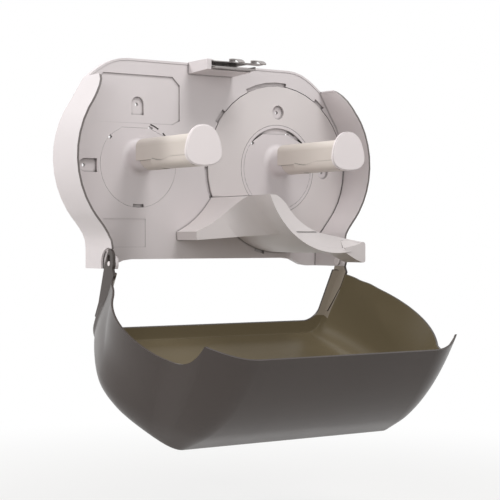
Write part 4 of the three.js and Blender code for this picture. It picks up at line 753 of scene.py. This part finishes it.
def behind_rim():
    """Tool that trims the skin back to the rim."""
    points = seam_line(-SEAM_GAP)
    ahead, step_z = HINGE_Y - EYE_ROOM, SEAM_END[1] - 1
    top, bottom = HOOD[1] + TOOL_SPARE, COVER_BOTTOM_Z - TOOL_SPARE
    outline = [(TOOL_SPARE, top), (TOOL_BACK_Y, top), (TOOL_BACK_Y, EAR[1] + TOOL_SPARE)] + points
    outline += [(ahead, step_z), (ahead, bottom), (TOOL_SPARE, bottom)]
    return prism("rim_tool", outline, -TOOL_HALF, TOOL_HALF)


def opening_tool():
    """Tool for the paper opening in the bottom wall, with round front corners."""
    half, corner = OPENING_HALF, OPENING_CORNER
    low, high = COVER_BOTTOM_Z - TOOL_SPARE, COVER_BOTTOM_Z + OPENING_TALL
    centre_y = OPENING_FRONT_Y + corner
    outline = [(-half, 0)] + arc((-half + corner, centre_y), corner, 180, 270, OPENING_STEPS)
    outline += arc((half - corner, centre_y), corner, 270, 360, OPENING_STEPS) + [(half, 0)]
    bm = bmesh.new()
    verts = [bm.verts.new((x * MM, y * MM, low * MM)) for x, y in outline]
    face = bm.faces.new(verts)
    grown = bmesh.ops.extrude_face_region(bm, geom=[face])
    moved = [g for g in grown["geom"] if isinstance(g, bmesh.types.BMVert)]
    bmesh.ops.translate(bm, vec=(0, 0, (high - low) * MM), verts=moved)
    bmesh.ops.recalc_face_normals(bm, faces=bm.faces)
    return object_from(bm, "opening_tool")


def from_pin(point):
    """A point of the eye's outline, given by its distance in front of the pin and its height."""
    return (HINGE_Y + point[0], point[1])


def hinge_eye(name, side):
    """Slotted eye plate at the end of a side wall, with the arm that leads to it."""
    pin, radius, lean = (HINGE_Y, HINGE_Z), EYE_RADIUS, EYE_LEAN
    angle = math.radians(lean)
    far = (HINGE_Y + EYE_RUN * math.cos(angle), HINGE_Z + EYE_RUN * math.sin(angle))
    low_angle = math.degrees(math.asin((EYE_LOW_Z - far[1]) / radius))
    outline = EYE_ARM_BELOW + [(HINGE_Y - radius / 2, EYE_LOW_Z)]
    outline += arc(far, radius, low_angle, lean + 90, EYE_END_STEPS)
    outline += arc(pin, radius, lean + 90, 90, EYE_TOP_STEPS)
    heel = (HINGE_Y, HINGE_Z + radius)
    outline += cubic(heel, (heel[0] + EYE_HEEL_PULL, heel[1]), from_pin(EYE_HEEL_TURN),
                     from_pin(EYE_HEEL_END), EYE_TOP_STEPS)
    outline += EYE_ARM_ABOVE
    hole = arc(pin, EYE_SLOT, lean - 90, lean - 270, EYE_SLOT_STEPS)
    hole += arc(far, EYE_SLOT, lean + 90, lean - 90, EYE_SLOT_STEPS)
    outer, inner = side * FOOT_X, side * (FOOT_X - EYE_WALL)
    return prism(f"cover_eye_{name}", outline, min(outer, inner), max(outer, inner), [hole])


def swing_open(piece):
    """Turns the closed cover about its pins to the open position."""
    pivot = Vector(HINGE_AT)
    turn = Matrix.Translation(pivot) @ Matrix.Rotation(math.radians(OPEN_ANGLE), 4, "X")
    piece.data.transform(turn @ Matrix.Translation(-pivot))


class DISPENSER_OT_cover(bpy.types.Operator):
    """Builds the smoke cover closed and swings it open"""
    bl_idname = "dispenser.cover"
    bl_label = "Smoke cover"

    def execute(self, context):
        sizes, colours = context.scene.cover_sizes, context.scene.finish_colours
        skins = cover_materials(colours)
        cover = painted(cover_skin("smoke_cover", 0, sizes.columns), skins, 0)
        cut(cover, painted(cover_skin("cover_core", sizes.wall, sizes.columns), skins, 1))
        cut(cover, painted(behind_rim(), skins, 0))
        cut(cover, painted(opening_tool(), skins, 0))
        # paler, glowing copy of the smoke: painted light for the strips and the eyes' inner faces
        arm = smoked_polycarbonate("smoked_polycarbonate_lit", SMOKE_LIT_COLOUR,
                                   *FINISHES["smoke_lit"])
        paint_strip(cover, arm)
        swing_open(cover)
        for face in cover.data.polygons:
            face.use_smooth = True
        cover.data.set_sharp_from_angle(angle=math.radians(SMOOTH_ANGLE))
        round_edges(cover, sizes.edge, RIM_SEGMENTS, RIM_ANGLE)
        settle_piece(cover, "cover", "smoke_plastic", "front_cover")
        for name, side in SIDES.items():
            eye = painted(hinge_eye(name, side), (skins[0], arm), 0)
            for face in eye.data.polygons:
                # inward faces take the paler copy of the smoke: painted light
                face.material_index = int(face.normal.x * side < INWARD)
            swing_open(eye)
            round_edges(eye, sizes.edge, RIM_SEGMENTS, RIM_ANGLE)
            settle_piece(eye, "cover", "smoke_plastic")
        return {"FINISHED"}


def cover_materials(colours):
    """Outer skin in cool smoke, inner skin warmer, as light through the wall makes it."""
    return (smoked_polycarbonate("smoked_polycarbonate_outside", colours.smoke_out,
                                 *FINISHES["smoke_outside"]),
            smoked_polycarbonate("smoked_polycarbonate_inside", colours.smoke_in,
                                 *FINISHES["smoke_inside"]))


def paint_strip(cover, material):
    """Gives the strips of inner wall beside the paper opening a paler, glowing tone: painted light
    where they face forward in the open cover.
    """
    cover.data.materials.append(material)
    for face in cover.data.polygons:
        x, y, z = face.center / MM
        if face.material_index == 1 and abs(x) > STRIP_X and y > STRIP_Y and z < STRIP_TOP_Z:
            face.material_index = 2


def painted(piece, materials, index):
    """Gives every face one of the materials; a cut keeps them on the faces that it leaves."""
    for material in materials:
        piece.data.materials.append(material)
    for face in piece.data.polygons:
        face.material_index = index
    return piece


# Stage

class DISPENSER_OT_stage(bpy.types.Operator):
    """Sets the floor, the lights, the world and the camera"""
    bl_idname = "dispenser.stage"
    bl_label = "Stage"

    def execute(self, context):
        settings = context.scene.stage_settings
        floor(settings.floor_z)
        world(context, settings.sky)
        soft_light("left_light", settings.side)
        soft_light("upper_light", settings.top)
        soft_light("fill_light", settings.fill)
        camera(context)
        context.scene.view_settings.view_transform = "Standard"
        return {"FINISHED"}


def shown_ray(tree):
    """1 for rays that show the background: camera, glossy and transmission rays."""
    rays = add(tree, "ShaderNodeLightPath").outputs
    both = add(tree, "ShaderNodeMath", operation="MAXIMUM",
               links={0: rays["Is Camera Ray"], 1: rays["Is Glossy Ray"]})
    return add(tree, "ShaderNodeMath", operation="MAXIMUM",
               links={0: both.outputs[0], 1: rays["Is Transmission Ray"]})


def floor(height):
    """Pale floor that fades to plain white away from the object."""
    bm = bmesh.new()
    bmesh.ops.create_circle(bm, cap_ends=True, segments=FLOOR_SIDES, radius=FLOOR_RADIUS)
    bmesh.ops.translate(bm, vec=(0, 0, height), verts=bm.verts)
    piece = object_from(bm, "floor")
    material, tree = new_material("pale_floor")
    place = add(tree, "ShaderNodeTexCoord")
    flat = add(tree, "ShaderNodeVectorMath", {1: (1, 1, 0)}, {0: place.outputs["Object"]},
               operation="MULTIPLY")
    reach = add(tree, "ShaderNodeVectorMath", links={0: flat.outputs["Vector"]},
                operation="LENGTH")
    fade = add(tree, "ShaderNodeMapRange",
               {"From Min": 0.4, "From Max": 1.2, "To Min": 0.72, "To Max": 1.0},
               {"Value": reach.outputs["Value"]}, interpolation_type="SMOOTHSTEP")
    paint = add(tree, "ShaderNodeBsdfDiffuse", {"Color": linear(FLOOR_PAINT)})
    white = add(tree, "ShaderNodeEmission", {"Color": (1, 1, 1, 1), "Strength": 1.0})
    faded = add(tree, "ShaderNodeMixShader", links={
        0: fade.outputs["Result"], 1: paint.outputs["BSDF"], 2: white.outputs["Emission"]})
    surface = add(tree, "ShaderNodeMixShader", links={
        0: shown_ray(tree).outputs[0], 1: paint.outputs["BSDF"], 2: faded.outputs["Shader"]})
    add(tree, "ShaderNodeOutputMaterial", links={"Surface": surface.outputs["Shader"]})
    piece.data.materials.append(material)


def world(context, level):
    """Even light all round, with a plain white background behind the object."""
    sky = bpy.data.worlds.new("even_studio")
    context.scene.world = sky
    sky.use_nodes = True
    tree = sky.node_tree
    tree.nodes.clear()
    strength = add(tree, "ShaderNodeMapRange", {"To Min": level, "To Max": 1.0},
                   {"Value": shown_ray(tree).outputs[0]})
    light = add(tree, "ShaderNodeBackground", {"Color": (1, 1, 1, 1)},
                {"Strength": strength.outputs["Result"]})
    add(tree, "ShaderNodeOutputWorld", links={"Surface": light.outputs["Background"]})


def soft_light(name, power):
    """A round lamp at its place in LAMPS, turned to its target."""
    place, target, size = LAMPS[name]
    data = bpy.data.lights.new(name, "AREA")
    data.shape = "DISK"
    data.size = size
    data.energy = power
    lamp = bpy.data.objects.new(name, data)
    lamp.location = place
    lamp.rotation_euler = (Vector(target) - Vector(place)).to_track_quat("-Z", "Y").to_euler()
    bpy.context.scene.collection.objects.link(lamp)


def camera(context):
    """Camera at the photographed angle, level with the housing's bottom edge."""
    data = bpy.data.cameras.new("camera")
    data.lens = CAMERA_LENS
    data.sensor_width = CAMERA_SENSOR
    eye = bpy.data.objects.new("camera", data)
    eye.location = CAMERA_AT
    eye.rotation_euler = (math.radians(CAMERA_TILT), 0, math.radians(CAMERA_TURN))
    context.scene.collection.objects.link(eye)
    context.scene.camera = eye


class DISPENSER_PT_panel(bpy.types.Panel):
    """Lists the dispenser's pieces and settings"""
    bl_idname = "DISPENSER_PT_panel"
    bl_label = "Dispenser"
    bl_space_type = "VIEW_3D"
    bl_region_type = "UI"
    bl_category = "Dispenser"

    def draw(self, context):
        for group in GROUPS:
            settings = getattr(context.scene, group)
            for name in settings.__annotations__:
                self.layout.prop(settings, name)
        for operator in OPERATORS:
            self.layout.operator(operator.bl_idname)


GROUPS = {
    "cover_sizes": CoverSizes,
    "finish_colours": FinishColours,
    "stage_settings": StageSettings,
}
OPERATORS = (
    DISPENSER_OT_housing,
    DISPENSER_OT_arms,
    DISPENSER_OT_lock,
    DISPENSER_OT_shutter,
    DISPENSER_OT_cover,
    DISPENSER_OT_stage,
)


def register():
    for kind in (*GROUPS.values(), *OPERATORS, DISPENSER_PT_panel):
        bpy.utils.register_class(kind)
    for name, kind in GROUPS.items():
        setattr(bpy.types.Scene, name, bpy.props.PointerProperty(type=kind))


def unregister():
    for name in GROUPS:
        delattr(bpy.types.Scene, name)
    for kind in reversed((*GROUPS.values(), *OPERATORS, DISPENSER_PT_panel)):
        bpy.utils.unregister_class(kind)


def main():
    register()
    bpy.ops.dispenser.housing()
    bpy.ops.dispenser.arms()
    bpy.ops.dispenser.lock()
    bpy.ops.dispenser.shutter()
    bpy.ops.dispenser.cover()
    bpy.ops.dispenser.stage()


if __name__ == "__main__":
    main()
